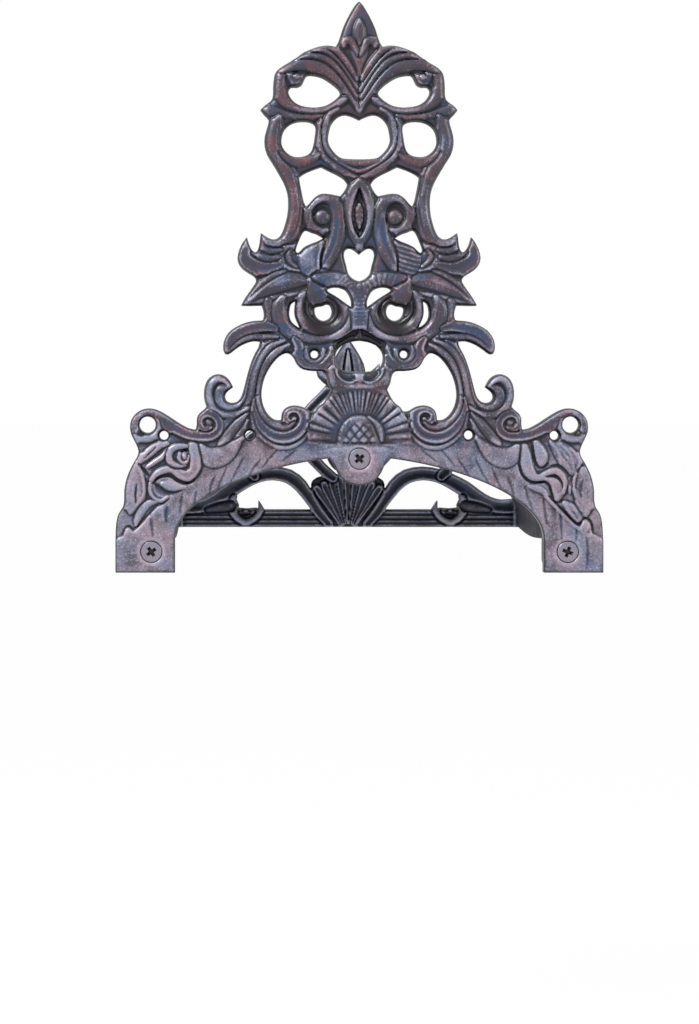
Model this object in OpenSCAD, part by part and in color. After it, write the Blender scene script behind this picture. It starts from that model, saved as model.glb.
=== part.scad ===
// Wall hose holder: a pierced scrollwork front casting, an arched shelf that carries the coiled
// hose, and a lower scrollwork casting that is screwed to the wall. Six countersunk machine
// screws with washers and nuts join the two castings to the lugs of the shelf.
//
// The holder hangs on a wall that is the plane Y = 0. The front looks along -Y. Heights inside
// the modules are measured from the feet of the front casting. The origin lies on the wall, on
// the centre line, at mid height of the moulded bar of the wall casting.

/* [Front casting] */
// Width across the two feet
front_w = 291; // [270:1:310]
// Height from the feet to the tip of the finial
front_h = 341.5; // [320:0.5:365]
// Thickness of the ground between the scrolls
front_ground_t = 5.5; // [4:0.1:7]
// Thickness of the arched band that carries the scrolls
band_t = 7.2; // [6.5:0.1:8]
// Thickness over the raised scrolls and the foot plates
front_t = 9; // [8:0.1:11]
// Width of each foot
foot_w = 35.5; // [33:0.5:38]
// Height of the straight inner side of each foot
arch_spring = 20; // [14:0.5:26]
// Rise of the arch above the straight sides
arch_rise = 49.5; // [44:0.5:52]
// Diameter of the round hole in each ear
ear_hole_d = 9.6; // [6:0.1:10.5]

/* [Shelf] */
// Depth between the two castings
shelf_depth = 118; // [80:1:160]
// Thickness of the arched shelf
shelf_t = 5; // [4:0.1:7]
// How far the shelf's legs stand outside the arch of the front casting
shelf_gap = 0.5; // [0:0.1:2]
// Height of the shelf's legs, from the feet up to the start of the curve
leg_z = 26; // [22:0.5:30]
// Height at which the legs end
leg_end_z = 20; // [14:0.5:21]
// Rise of the shelf's curve
shelf_rise = 48.5; // [46:0.5:52]
// How far the lower edge of each leg bows down at half depth
leg_bow = 2.3; // [0:0.1:4]
// Thickness of the screw lugs
lug_t = 7; // [5:0.1:9]
// Width of the foot lugs
lug_w = 29; // [26:0.5:31]
// Radius of the two lugs under the crown
crown_lug_r = 13.5; // [11:0.5:14.5]

/* [Wall casting] */
// How far the ends of the moulded bar stay inside the outer sides of the feet
bar_in = 11.5; // [5:0.5:14]
// Height from the bar's lower edge to the tip of the finial
wall_h = 124; // [112:0.5:132]
// Height of the bar's lower edge above the feet
wall_z = 19.5; // [17:0.5:21]
// Height of the moulded bar
bar_h = 11.5; // [9:0.5:12]
// Thickness of the ground between the scrolls
wall_ground_t = 5; // [3.5:0.1:6]
// Thickness over the raised scrolls and the screw pads
wall_t = 8; // [7:0.1:10]
// Diameter of the four holes for wall screws
wall_hole_d = 6.5; // [4:0.1:7]
// Spacing of the two upper wall screws
upper_spacing = 100; // [97:0.5:103]
// Height of the upper wall screws above the feet
upper_hole_z = 72; // [70:0.5:74]
// Distance of the lower wall screws from the inner side of the foot
lower_hole_in = 12; // [10:0.5:14]
// Height of the lower wall screws above the feet
lower_hole_z = 56; // [54:0.5:58]

/* [Machine screws] */
// Diameter of the screws
screw_d = 6; // [5:0.1:6.5]
// Diameter of the countersunk heads
head_d = 12.6; // [11:0.1:13]
// Length of the screws
screw_l = 25; // [24:0.5:32]
// Width of the nuts across their flats
nut_af = 10; // [9.5:0.1:10.5]
// Thickness of the nuts
nut_t = 5; // [4:0.1:5.5]
// Diameter of the washers
washer_d = 11; // [10.5:0.1:11.5]
// Thickness of the washers
washer_t = 1.2; // [0.8:0.1:1.6]
// Distance of the foot screws from the inner side of the foot
foot_screw_in = 14; // [12:0.5:17]
// Height of the front foot screws
foot_screw_z = 12.5; // [11:0.5:14]
// Height of the rear screws that hold the shelf's legs
rear_screw_z = 34; // [32:0.5:36]
// Height of the two crown screws
crown_screw_z = 68; // [67.5:0.1:68.5]

/* [Hidden] */

$fn = 48;
overlap = 1;
play = 0.2;
iron = [0.36, 0.32, 0.34];
dark_iron = [0.22, 0.21, 0.22];
screw_colour = [0.42, 0.38, 0.40];

arch_w = front_w - 2 * foot_w;
wall_w = front_w - 2 * bar_in;
lower_hole_x = arch_w / 2 + lower_hole_in;
origin_z = wall_z + bar_h / 2;
front_back_y = -wall_t - shelf_depth;
front_face_y = front_back_y - front_t;
foot_screw_x = arch_w / 2 + foot_screw_in;
head_r = head_d / 2;
head_rim = 0.5;
head_cone = head_r - screw_d / 2;
recess_d = 6.4;
recess_slot = 1.5;
recess_depth = 2.6;
lug_corner = 5;
foot_lug_z0 = 2;
foot_lug_z1 = 30;
rear_lug_z0 = rear_screw_z - 14;
rear_lug_z1 = rear_screw_z + 12;
pad_top = lower_hole_z + 9;
spline_steps = 2;

// The scrollwork was drawn on a grid of these sizes, and follows front_w, front_h, wall_w, wall_h
drawn_front = [145.5, 341.5];
drawn_wall = [134, 124];
front_scale = [front_w / 2 / drawn_front.x, front_h / drawn_front.y];
wall_scale = [wall_w / 2 / drawn_wall.x, wall_h / drawn_wall.y];

// Right half of the outer edge, from the foot to the tip of the finial: [from the centre line,
// above the feet]. A third value of 1 makes a sharp corner, otherwise the edge runs smoothly.
front_edge = [
    [145.5, 0, 1],
    [145.5, 20], [145, 30], [143.6, 35.2], [141.2, 39], [140.4, 43], [140.3, 49], [139.2, 55],
    [137.5, 60], [135, 65], [132.6, 69], [131.8, 72.5], [133, 76], [134.8, 79.5], [136.4, 83],
    [137, 87], [136.2, 91], [134, 94.3], [130.5, 96.9], [126, 98], [121.3, 97.3], [116.5, 95],
    [112, 92.2], [106.5, 88.6], [101.5, 86], [97.6, 85.3, 1],
    [97, 88.5], [97, 92], [95.5, 95], [92.8, 97.2], [91.3, 99, 1],
    [92.4, 102.5], [92.8, 106.5], [92.3, 111], [90.6, 115], [87.6, 117.6], [83.8, 118.5],
    [80, 117.2], [77.2, 114.4], [75.2, 110.6, 1], [77.4, 109], [79.4, 107], [80, 104.5],
    [78.8, 102.2], [76, 101.3], [73, 102], [70.8, 104.3], [69.4, 108], [68, 113.5], [66.3, 120],
    [64.2, 126.5], [62.2, 131], [60.2, 134.5], [59.4, 137.6, 1],
    [63, 138], [67, 137], [70.8, 135.2], [74.3, 132.8], [77.6, 130.4], [80, 130.4], [81.2, 133],
    [81.1, 137], [79.6, 141], [76.8, 144.5], [73, 147], [68.5, 149], [63.5, 150.2],
    [57.6, 150.6, 1], [57, 153], [57.2, 156], [58.2, 159.3, 1], [62.5, 159.2], [66.5, 159.1],
    [70.6, 159.3, 1], [68.7, 163], [65.9, 167.2], [63.2, 171], [61.5, 174.2], [62.9, 176.7],
    [66, 178.6], [69.3, 180.9], [71.8, 184], [72.7, 188], [71.6, 193], [69.4, 197.3],
    [67, 200.4, 1], [65.7, 196], [64, 192.8], [62, 191.3], [60.5, 193], [59.5, 197],
    [58.8, 203, 1], [56, 201], [53, 199.4], [49.8, 199.1], [46.9, 201.4], [44.9, 206],
    [43, 213], [42.4, 220], [42.9, 226.5], [45, 232.5], [48.3, 238.5], [51.8, 244.3],
    [55, 249.5], [56.5, 255], [56.4, 260.5], [55, 265.8], [54, 270.2], [56.5, 273],
    [59.1, 276.3, 1], [56.2, 279.3], [52.8, 281.7], [51.5, 284.8], [51.4, 290], [50.9, 295.5],
    [49.4, 299.6], [45, 303], [40, 305.9], [35, 309.4], [30, 312.2], [24.5, 314.1], [19, 314.7],
    [14, 314.2, 1], [12.4, 317], [10.9, 321.5], [9.4, 326], [7.3, 330.5], [4.9, 335],
    [2.4, 339], [0, 341.5, 1]
];

// Windows beside the centre line, each cut twice, left and right
brow_window = [
    [31, 296.7], [26, 296.5], [22, 295.3], [18.6, 293.3], [15.4, 291], [12.7, 288.5],
    [11.4, 286], [13, 283.7], [16, 281.2], [20, 279], [25, 278], [30, 278.1], [35, 279.1],
    [38.7, 281.2], [41.2, 284.2], [42.2, 287.3], [40.6, 289.7], [37.2, 289.7], [34.4, 291],
    [32.8, 294]
];
side_window = [
    [27.2, 267.8], [26, 265], [26.4, 261], [27.2, 256], [28.4, 252], [30.8, 249.5],
    [34.5, 248.4], [38.5, 248.4], [41.5, 249.6], [44.5, 252.3], [46.3, 256], [46, 260.5],
    [44.5, 264.4], [41.3, 267.4], [37, 269], [31.5, 269.2]
];
neck_window = [
    [22.7, 242, 1], [18, 239.6], [13, 237.2], [9, 234.6], [7, 231.6, 1], [8.2, 229],
    [9.8, 226.5], [11.3, 224.9, 1], [15.3, 225.7], [20, 226.4], [24, 225.8], [27.3, 223.3],
    [29.8, 220.3], [31.7, 218.7, 1], [33, 221.5], [34, 226], [35, 231], [35.8, 235.8, 1],
    [33, 237.9], [28, 240.2]
];
leaf_window = [
    [21.5, 199.6, 1], [25, 201.7], [28.8, 203], [32.2, 204.2], [34.3, 201.6], [36.2, 197.2],
    [37.8, 192.5], [36.6, 191], [34.8, 192.4], [33, 194.3], [29.5, 196.1], [25.5, 197.6]
];
bridge_window = [
    [19, 168.6], [16.5, 169.9], [12.5, 170], [8.5, 168.5], [6.2, 165.5], [4.9, 162],
    [4.8, 158.7, 1], [7.8, 160.7], [11, 163.1], [14, 165.1], [17, 166.9]
];
ring_window = [
    [26, 158.2], [22, 158.9], [19.3, 160], [17.2, 158.8], [16.4, 155.5], [17.3, 152.5],
    [20, 150.6], [22.8, 150.7], [25.3, 152.6], [26.4, 155.5]
];
slit_window = [
    [38.3, 161.8, 1], [40.3, 160.5], [41.4, 157.5], [41.6, 153.5], [40.6, 150.3],
    [38.3, 147.8], [35.5, 146, 1], [36.8, 148.8], [38.2, 152], [38.8, 156]
];
big_window = [
    [42.2, 130.8], [39, 127.8], [37.2, 124.2], [33.5, 121.2], [27, 120.2], [21.7, 120],
    [19.6, 117], [18.8, 113], [16.8, 109, 1], [19.3, 104.2], [21.5, 101], [24.3, 99.2],
    [26.4, 96.2, 1], [29.5, 96.4], [33.8, 98.9], [39, 99.8], [43.6, 98.4], [46.1, 95.2],
    [46.6, 91, 1], [50.2, 91.2], [54, 94], [57, 99], [58.3, 105], [57.8, 111], [56.1, 117],
    [53, 122.7], [49.4, 127.3], [45.8, 130.1]
];
paired_windows = [
    brow_window, side_window, neck_window, leaf_window, bridge_window, ring_window,
    slit_window, big_window
];

// Windows on the centre line, given by their right half from top to bottom
heart_window = [
    [0, 270.1, 1], [3.5, 271.8], [8, 273.2], [11.5, 272.5], [14.5, 270.3], [16.8, 267],
    [17.9, 263], [18.5, 258.5], [17.5, 254.8], [15, 251.2], [12, 248.4], [9, 247.3], [4, 247],
    [0, 247, 1]
];
small_heart_window = [
    [0, 189.7, 1], [2, 191.5], [4.6, 193.1], [6.8, 193.3], [8.5, 191.8], [9, 189.6],
    [8.5, 186.5], [7.6, 183.5], [7, 180.5], [6, 177.8], [3.2, 175.2], [0, 174, 1]
];
crown_window = [
    [0, 138.3, 1], [5, 137.6], [10, 135.6], [13.3, 132], [14.2, 128], [13.3, 123.8],
    [10, 120.9], [5, 120], [0, 119.9, 1]
];
centre_windows = [heart_window, small_heart_window, crown_window];

// Small round holes: [from the centre line, above the feet, diameter]
ear_hole = [126.4, 88.2];
round_holes = [[116.6, 81.8, 5.2], [65.4, 82, 5.2], [26.7, 130.2, 4.4]];

// Raised scrolls and leaves, drawn as brush strokes: [from the centre line, above the feet,
// half width]. Each is made twice, left and right.
front_strokes = [
    [[44, 300.8, 3], [47.4, 296, 3.3], [48, 290, 3.4], [46.4, 284, 3.4], [42, 279, 3],
     [35, 276.2, 2.1], [26, 275.4, 1.8], [17.5, 277, 1.8], [11, 280.4, 1.8], [6.5, 284.2, 1]],
    [[46, 299, 1.5], [40, 302, 3.4], [32, 303, 3.6], [24.5, 302, 3.5], [17.8, 298.6, 3.2],
     [11.6, 293, 2.8], [6.3, 286.6, 2.3], [2, 280, 1.8], [0, 275, 1]],
    [[44, 303, 0.8], [37.5, 306.3, 1.5], [31, 310.3, 1.7], [24.5, 312.2, 1.9], [18, 312.2, 2.1],
     [12.6, 309.2, 2.2], [8.2, 303.8, 2.1], [4, 296.5, 2], [0, 287.5, 1.5]],
    [[0, 315.5, 1.6], [0, 320, 3.1], [0, 325, 2.6], [0, 329.5, 0.3]],
    [[8.6, 314.5, 0.8], [7, 316.8, 2.2], [4.4, 317, 2.4], [2, 313.8, 1.2]],
    [[47.5, 272, 1.5], [49.8, 267, 3.6], [50.8, 260, 4.2], [50.6, 254, 4.6], [47.8, 248, 4.6],
     [44.2, 241.8, 4.4], [41.1, 235.6, 4.2], [39, 229, 3.8], [38.1, 221, 3.9], [38.5, 213, 4.2],
     [40.2, 205.5, 4.4], [43.6, 199.6, 4.4], [49.4, 196.2, 4], [54.6, 196.8, 3.2],
     [57.4, 199.4, 1.6], [58.8, 202.6, 0.3]],
    [[13, 276.5, 1], [17.5, 273.6, 1.3], [20, 269, 1.4], [21, 263, 1.5], [20.9, 257, 1.5],
     [18.9, 251.8, 1.6], [15, 247.4, 1.6], [9.6, 243.4, 1.6], [4, 240.4, 1.5], [0, 239.3, 1.4]],
    [[27.6, 173.2, 0.6], [24.8, 177.6, 2.6], [20.6, 184, 3.8], [16.6, 191, 4.2], [14, 198, 4.1],
     [12.6, 205, 4], [12.2, 211.6, 3.9], [13.4, 217.8, 3.6], [16.8, 222, 3.3],
     [21.8, 223.5, 3.1], [26.8, 221.4, 3], [29.9, 216.6, 3], [30.1, 211, 2.8],
     [27.6, 206.4, 2.4], [23.4, 204, 2], [19.4, 204.2, 1.2]],
    [[0, 233.6, 2.2], [4, 229.6, 2.2], [6.6, 222.5, 2.2], [7.3, 214, 2.2], [6.3, 205.5, 2.1],
     [3.8, 198.8, 2], [0, 194.4, 1.7]],
    [[28, 173.6, 0.6], [29.6, 178.4, 3.8], [29.6, 184, 6], [28.8, 189.6, 6.2],
     [25.8, 193.8, 4.4], [22.4, 196.4, 1.4]],
    [[47, 183.4, 1.6], [53, 181.8, 3.4], [60, 181.9, 4.2], [66, 184.4, 4.4], [69.1, 189, 3.8],
     [68.9, 194.4, 2.4], [67.2, 199.8, 0.3]],
    [[30.4, 173.4, 1.6], [37, 174.6, 4.2], [45, 173.8, 5.4], [53, 170.6, 5], [61, 166.2, 3.6],
     [66.6, 162.2, 1.9], [70, 159.8, 0.3]],
    [[46.6, 162, 2.4], [47, 156, 3.2], [45, 149.4, 3.4], [40.4, 143.8, 3.2], [33.4, 140.4, 3],
     [25.6, 139.4, 2.8], [18, 140, 2.8], [11.2, 142.8, 2.8], [6.2, 147.4, 2.6],
     [3.6, 153, 2.2], [2.8, 160, 1.8]],
    [[32.6, 161, 0.8], [32.2, 154.4, 1.2], [28.2, 149.4, 1.3], [22, 147.6, 1.3],
     [16, 149.2, 1.3], [12.6, 153.6, 1.3], [13, 158.8, 1.2], [16.6, 162.4, 1]],
    [[26, 175.6, 1.6], [19, 176, 3], [12, 175.4, 3.4], [6, 172.6, 3.6], [2, 168, 3.4],
     [0, 163, 3]],
    [[50, 145.6, 1.6], [57, 147, 3.2], [64, 146.2, 3.8], [70.6, 143.6, 4], [75.8, 139.6, 3.8],
     [78.6, 135.2, 2.8], [79.2, 131.6, 1]],
    [[45, 138.4, 1], [52.4, 135, 1.8], [58, 128.4, 1.8], [61.4, 120, 1.9], [63.6, 111, 2],
     [65.6, 103, 1.8], [68.6, 97.4, 1.4]],
    [[66.2, 98.4, 1.2], [71.2, 95, 2], [78, 93.8, 2.2], [84.4, 95.4, 2.4], [88.8, 99.8, 2.6],
     [90.2, 106, 2.7], [88.8, 112, 2.8], [85, 115.6, 2.8], [80.8, 115.2, 2.4],
     [77.6, 112.4, 1.4], [75.6, 110.6, 0.4]],
    [[70, 80.6, 0.6], [74.4, 75.4, 3.2], [80.4, 70.4, 5.4], [87.2, 68.4, 6], [92, 71, 4.4],
     [94, 75.4, 1.4]],
    [[134.6, 82.2, 1.8], [134.6, 88.6, 2.4], [131.4, 94, 2.7], [126, 95, 2.8], [120.6, 93, 3],
     [114.4, 89.2, 3.2], [108, 85.4, 3.2], [101.6, 82.6, 3], [95, 81.2, 2.6],
     [88.6, 81.4, 2.4], [84.2, 84.4, 2.3], [83.4, 89.2, 2.1], [86.2, 93.4, 2],
     [90.8, 94.8, 1.9], [94.6, 92.6, 1.7], [95.2, 88.4, 1.5], [92.4, 85.6, 1.2]],
    [[62.2, 103, 1], [62.4, 96, 2.4], [59.4, 88.8, 3.2], [53.6, 83, 3.4], [46.4, 80.6, 3.4],
     [39.2, 82, 3.3], [34.2, 86.6, 3], [33, 92.4, 2.7], [35.6, 96.8, 2.4], [40, 97.6, 2],
     [43.6, 95.2, 1.8], [43.6, 91.4, 1.5], [40.8, 89.6, 1.2]],
    [[15.4, 124, 0.7], [17.6, 119.4, 2.4], [15.6, 114.4, 2.9], [10.4, 111.8, 2.2],
     [4.6, 111.4, 1.8], [0, 111.5, 1.8]],
    [[16.4, 134, 0.8], [16.8, 129, 2], [20.2, 124.6, 2.6], [26, 122.8, 2.8], [32, 124.4, 2.9],
     [35.6, 129.2, 2.9], [36, 135, 2.6], [38.6, 139.2, 1.6]],
    [[131.6, 65, 0.6], [133.4, 58, 3.6], [134.4, 51, 4.8], [134.8, 44, 4.6], [134.4, 38.2, 2.4],
     [133, 34, 0.6]],
    [[104, 76, 0.6], [99, 70, 2.4], [99.4, 63.6, 2.8], [103.6, 58.8, 2.9], [109.6, 57.2, 2.8],
     [116, 58.6, 2.8], [121, 56.6, 3], [122.6, 51, 3.2], [120.6, 45.6, 2.4], [118.8, 42.6, 0.6]]
];

// Upper edge of the arched band, right half, as far as the foot plate
band_top = [
    [0, 77.3, 1], [18, 77.3, 1], [31, 80], [36.5, 75.4], [42, 73], [49, 73.2], [56, 76.6],
    [61.5, 83], [64, 88, 1], [66.6, 87], [68.6, 80, 1], [72, 69.6], [78, 64.2], [86, 61.6],
    [92.4, 64.6, 1], [95.4, 58.4], [101, 53.4], [107, 55], [112, 57, 1]
];

// Foot plate, right half: its upper edge is a wavy ledge
foot_plate = [
    [100, 0, 1], [145.5, 0, 1], [145.5, 19, 1], [142.4, 21.6], [140.8, 25.4], [137, 27.4],
    [134, 25.6], [130.6, 27.2], [127, 31], [124, 35.6], [120, 39.8], [114, 43.6], [100, 50, 1]
];

// Scallop shell above the crown screw
shell_z = 79;
shell_flutes = 13;
shell_spread = 152;
shell_r0 = 16;
shell_r1 = 29;
shell_flute_w0 = 1.2;
shell_flute_w1 = 2.3;
shell_core_r = 13;

// Tab round the crown screw, from its lowest point, measured from the screw
crown_tab = [
    [0, -16, 1], [5, -15.3], [9.5, -13], [13, -8.5], [15, -4], [17, -0.6], [20.5, 1.3],
    [26, 2.4, 1], [26, 12, 1], [0, 12, 1]
];

// Wall casting: brush strokes, [from the centre line, above the bar's lower edge, half width]
wall_strokes = [
    [[12.5, 2.5, 2.6], [17.5, 7.9, 3.2], [23.6, 16.5, 3.6], [30.6, 26.7, 4.6], [38.8, 33.1, 4.8],
     [49, 35, 4.5], [59, 33.5, 4.6], [68, 29.7, 5], [76, 25.1, 5.4], [84, 19.7, 5],
     [92, 15.4, 4.6], [101, 13.5, 4.4], [112, 14.3, 4.8]],
    [[58.4, 17, 0.3], [57.2, 13, 1.6], [56.4, 9.4, 2.3], [58.6, 4.3, 2.5], [65, 2.4, 2.4],
     [72, 3.5, 2.7], [76, 8.5, 3], [76.8, 14.5, 3], [75.2, 20.1, 3]],
    [[10, 32.5, 3.4], [15, 36.5, 3.8], [20, 41.6, 3.8], [26, 48, 3.9], [30.4, 56.5, 4.1],
     [30.6, 65.5, 4.1], [26.4, 74.1, 4.1], [19.6, 81.5, 4], [12.6, 88.5, 4], [7.4, 95.5, 4.2],
     [3, 102.5, 4.2]],
    [[61, 33.5, 3.6], [66.6, 40.5, 4.2], [67.6, 49.5, 4.4], [63, 57.9, 4.4], [54.6, 62.1, 4.3],
     [46.4, 60.5, 3.9], [42.4, 54.5, 3.5]],
    [[4, 90, 3], [11, 95, 3.6], [17.4, 100, 3], [20.6, 106.5, 0.4]],
    [[33, 59, 3.4], [38, 59.4, 3.4], [43, 59, 3.4]]
];
wall_curl_fill = [[60, 7.5, 5.2], [66, 7, 5.2], [72, 7.5, 5.2]];
wall_branch_web = [[76, 14, 5], [84, 13, 4.4], [92, 11, 3]];
wall_curl_inner = [[60.8, 13.1, 1.2], [62.6, 8.9, 1.6], [66.2, 7.3, 1.6], [69.8, 9.1, 1.6], [71, 13, 1.3]];
wall_fan = [
    [0, 0, 1], [13.5, 0, 1], [16, 4.5], [21, 15], [24, 25], [23, 30.5], [17, 33.4], [8, 34.5],
    [0, 34.7, 1]
];
wall_finial = [
    [0, 84.5, 1], [4, 86.5], [9, 92.5], [11.5, 99.5], [10.5, 106.5], [7, 113.5], [3, 119.8],
    [0, 124, 1]
];
fan_flutes = 9;
fan_spread = 60;
fan_root = 6;
fan_r0 = 14;
fan_r1 = 36;
fan_flute_w0 = 0.6;
fan_flute_w1 = 1.6;
upper_boss_r = 8.4;
pad_corner = 8;

// A smooth curve through control points, the same for points, half widths or both
function blend(a, b, c, d, t) =
    0.5 * (2 * b + (c - a) * t + (2 * a - 5 * b + 4 * c - d) * t * t
           + (3 * b - a - 3 * c + d) * t * t * t);

function sized(points, grid) =
    [for (p = points) [p.x * grid.x, p.y * grid.y, p[2]]];

function doubled(points) =
    [for (p = points) for (k = [0 : (p[2] == 1 ? 1 : 0)]) [p.x, p.y]];

function closed_curve(corners) =
    let (p = doubled(corners), n = len(p))
    [for (i = [0 : n - 1]) if (p[i] != p[(i + 1) % n]) for (s = [0 : spline_steps - 1])
        blend(p[(i + n - 1) % n], p[i], p[(i + 1) % n], p[(i + 2) % n], s / spline_steps)];

function open_curve(p) =
    let (n = len(p))
    [for (i = [0 : n - 2]) if (p[i] != p[i + 1]) for (s = [0 : spline_steps - 1])
        blend(p[max(i - 1, 0)], p[i], p[i + 1], p[min(i + 2, n - 1)], s / spline_steps),
     p[n - 1]];

function half_curve(corners) = open_curve(doubled(corners));

function mirrored_ring(half) =
    concat(half, [for (i = [len(half) - 1 : -1 : 0]) if (half[i].x > 0) [-half[i].x, half[i].y]]);

// Left and right edge of a brush stroke at each point of its curve
function stroke_side(c, side) =
    [for (i = [0 : len(c) - 1])
        let (a = c[max(i - 1, 0)], b = c[min(i + 1, len(c) - 1)],
             run = [b.x - a.x, b.y - a.y], along = run / norm(run))
        [c[i].x - side * along.y * c[i][2], c[i].y + side * along.x * c[i][2]]];

module stroke(points) {
    c = open_curve(points);
    one = stroke_side(c, 1);
    two = stroke_side(c, -1);
    for (i = [0 : len(c) - 2])
        polygon([one[i], one[i + 1], two[i + 1], two[i]]);
    for (e = [c[0], c[len(c) - 1]])
        translate([e.x, e.y]) circle(r = e[2], $fn = 8);
}

module both_sides() {
    children();
    mirror([1, 0]) children();
}

// Stands a drawing in X and Y upright: it grows from the plane y toward the front
module upright(y, thickness) {
    translate([0, y, -origin_z]) rotate([90, 0, 0]) linear_extrude(thickness) children();
}

// A rod along Y, from the plane y toward the front
module rod(x, y, z, r, length, r_end = undef) {
    translate([x, y, z - origin_z]) rotate([90, 0, 0])
        cylinder(h = length, r1 = r, r2 = is_undef(r_end) ? r : r_end);
}

// The arch under the front casting, with straight sides up to the spring line
module arch_void() {
    power = 1.6;
    steps = 40;
    a = arch_w / 2;
    polygon(concat(
        [[a, -overlap], [a, 0]],
        [for (i = [0 : steps]) let (t = 90 * i / steps)
            [a * pow(cos(t), 2 / power), arch_spring + arch_rise * sin(t)]],
        [for (i = [steps : -1 : 0]) let (t = 90 * i / steps)
            [-a * pow(cos(t), 2 / power), arch_spring + arch_rise * sin(t)]],
        [[-a, 0], [-a, -overlap]]));
}

module crown_tab_area() {
    translate([0, crown_screw_z]) polygon(mirrored_ring(half_curve(crown_tab)));
}

module front_area() {
    edge = concat([[0, 0, 1]], sized(front_edge, front_scale));
    difference() {
        union() {
            difference() {
                polygon(mirrored_ring(half_curve(edge)));
                arch_void();
            }
            crown_tab_area();
        }
        for (w = paired_windows)
            both_sides() polygon(closed_curve(sized(w, front_scale)));
        for (w = centre_windows)
            polygon(mirrored_ring(half_curve(sized(w, front_scale))));
    }
}

module shell_flute(angle) {
    turn = [sin(angle), cos(angle)];
    stroke([
        [shell_r0 * turn.x, shell_z + shell_r0 * turn.y, shell_flute_w0],
        [(shell_r0 + shell_r1) / 2 * turn.x, shell_z + (shell_r0 + shell_r1) / 2 * turn.y,
         (shell_flute_w0 + shell_flute_w1) / 2],
        [shell_r1 * turn.x, shell_z + shell_r1 * turn.y, shell_flute_w1]
    ]);
}

module shell_core() {
    translate([0, shell_z]) difference() {
        circle(r = shell_core_r);
        translate([-shell_core_r, -2 * shell_core_r]) square(2 * shell_core_r);
    }
}

module front_relief_area() {
    grid = [front_scale.x, front_scale.y];
    for (s = front_strokes)
        both_sides() stroke(sized(s, grid));
    scale(grid) {
        for (i = [0 : shell_flutes - 1])
            shell_flute(-shell_spread / 2 + shell_spread * i / (shell_flutes - 1));
        shell_core();
    }
}

// The arched band reaches from the crown to the foot plates
module band_area() {
    both_sides() polygon(concat(
        half_curve(sized(band_top, front_scale)),
        [[front_w / 2, 50], [front_w / 2, 0], [0, 0]]));
}

// Foot plates and crown tab, which are as thick as the scrolls and carry the screws
module front_pad_area() {
    difference() {
        both_sides() polygon(half_curve(sized(foot_plate, front_scale)));
        arch_void();
    }
    crown_tab_area();
}

module front_casting() {
    band_inset = 0.3;
    edge_inset = 0.5;
    color(iron) difference() {
        union() {
            upright(front_back_y, front_ground_t) offset(delta = 0) front_area();
            upright(front_back_y - front_ground_t + overlap, band_t - front_ground_t + overlap)
                offset(delta = 0) intersection() {
                    offset(delta = -band_inset) front_area();
                    band_area();
                }
            upright(front_back_y - front_ground_t + overlap, front_t - front_ground_t + overlap)
                offset(delta = 0) intersection() {
                    offset(delta = -edge_inset) front_area();
                    union() {
                        front_relief_area();
                        front_pad_area();
                    }
                }
        }
        for (side = [-1, 1]) {
            rod(side * ear_hole.x * front_scale.x, front_back_y + overlap,
                ear_hole.y * front_scale.y, ear_hole_d / 2, front_t + 2 * overlap);
            for (h = round_holes)
                rod(side * h.x * front_scale.x, front_back_y + overlap, h.y * front_scale.y,
                    h[2] / 2, front_t + 2 * overlap);
        }
        for (p = screw_places(foot_screw_z))
            screw_hole(p.x, front_face_y, p.y, front_t, 1);
    }
}

// The three screws of one casting: left foot, right foot, crown
function screw_places(foot_z) =
    [[-foot_screw_x, foot_z], [foot_screw_x, foot_z], [0, crown_screw_z]];

// Clearance hole with a countersink whose wide end lies in the plane face_y. The screw
// points to +Y where way is 1 and to -Y where way is -1.
module screw_hole(x, face_y, z, depth, way) {
    sink_r = head_r + play;
    hole_r = screw_d / 2 + play;
    translate([x, face_y, z - origin_z]) rotate([-90 * way, 0, 0]) {
        translate([0, 0, -overlap]) cylinder(h = depth + 2 * overlap, r = hole_r);
        translate([0, 0, -overlap]) cylinder(h = overlap + head_rim, r = sink_r);
        translate([0, 0, head_rim]) cylinder(h = sink_r - hole_r, r1 = sink_r, r2 = hole_r);
    }
}

module shelf_arch(grow) {
    steps = 48;
    a = arch_w / 2 + shelf_gap + grow;
    b = shelf_rise + grow;
    polygon(concat(
        [[-a, leg_end_z - leg_bow - overlap]],
        [for (i = [0 : steps]) let (t = 180 - 180 * i / steps) [a * cos(t), leg_z + b * sin(t)]],
        [[a, leg_end_z - leg_bow - overlap]]));
}

// Side view of the shelf: the lower edge of the legs bows down between the castings
module shelf_side() {
    steps = 16;
    top = leg_z + shelf_rise + 2 * shelf_t;
    polygon(concat(
        [[0, top]],
        [for (i = [0 : steps]) [shelf_depth * i / steps,
            leg_end_z - leg_bow * sin(180 * i / steps)]],
        [[shelf_depth, top]]));
}

module foot_lug_area(z0, z1) {
    both_sides() translate([arch_w / 2 + shelf_gap, z0])
        translate([lug_corner, lug_corner]) offset(r = lug_corner)
            square([lug_w - 2 * lug_corner, z1 - z0 - 2 * lug_corner]);
}

module crown_lug_area() {
    translate([0, crown_screw_z]) {
        circle(r = crown_lug_r);
        translate([-crown_lug_r, 0])
            square([2 * crown_lug_r, leg_z + shelf_rise + shelf_t / 2 - crown_screw_z]);
    }
}

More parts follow.
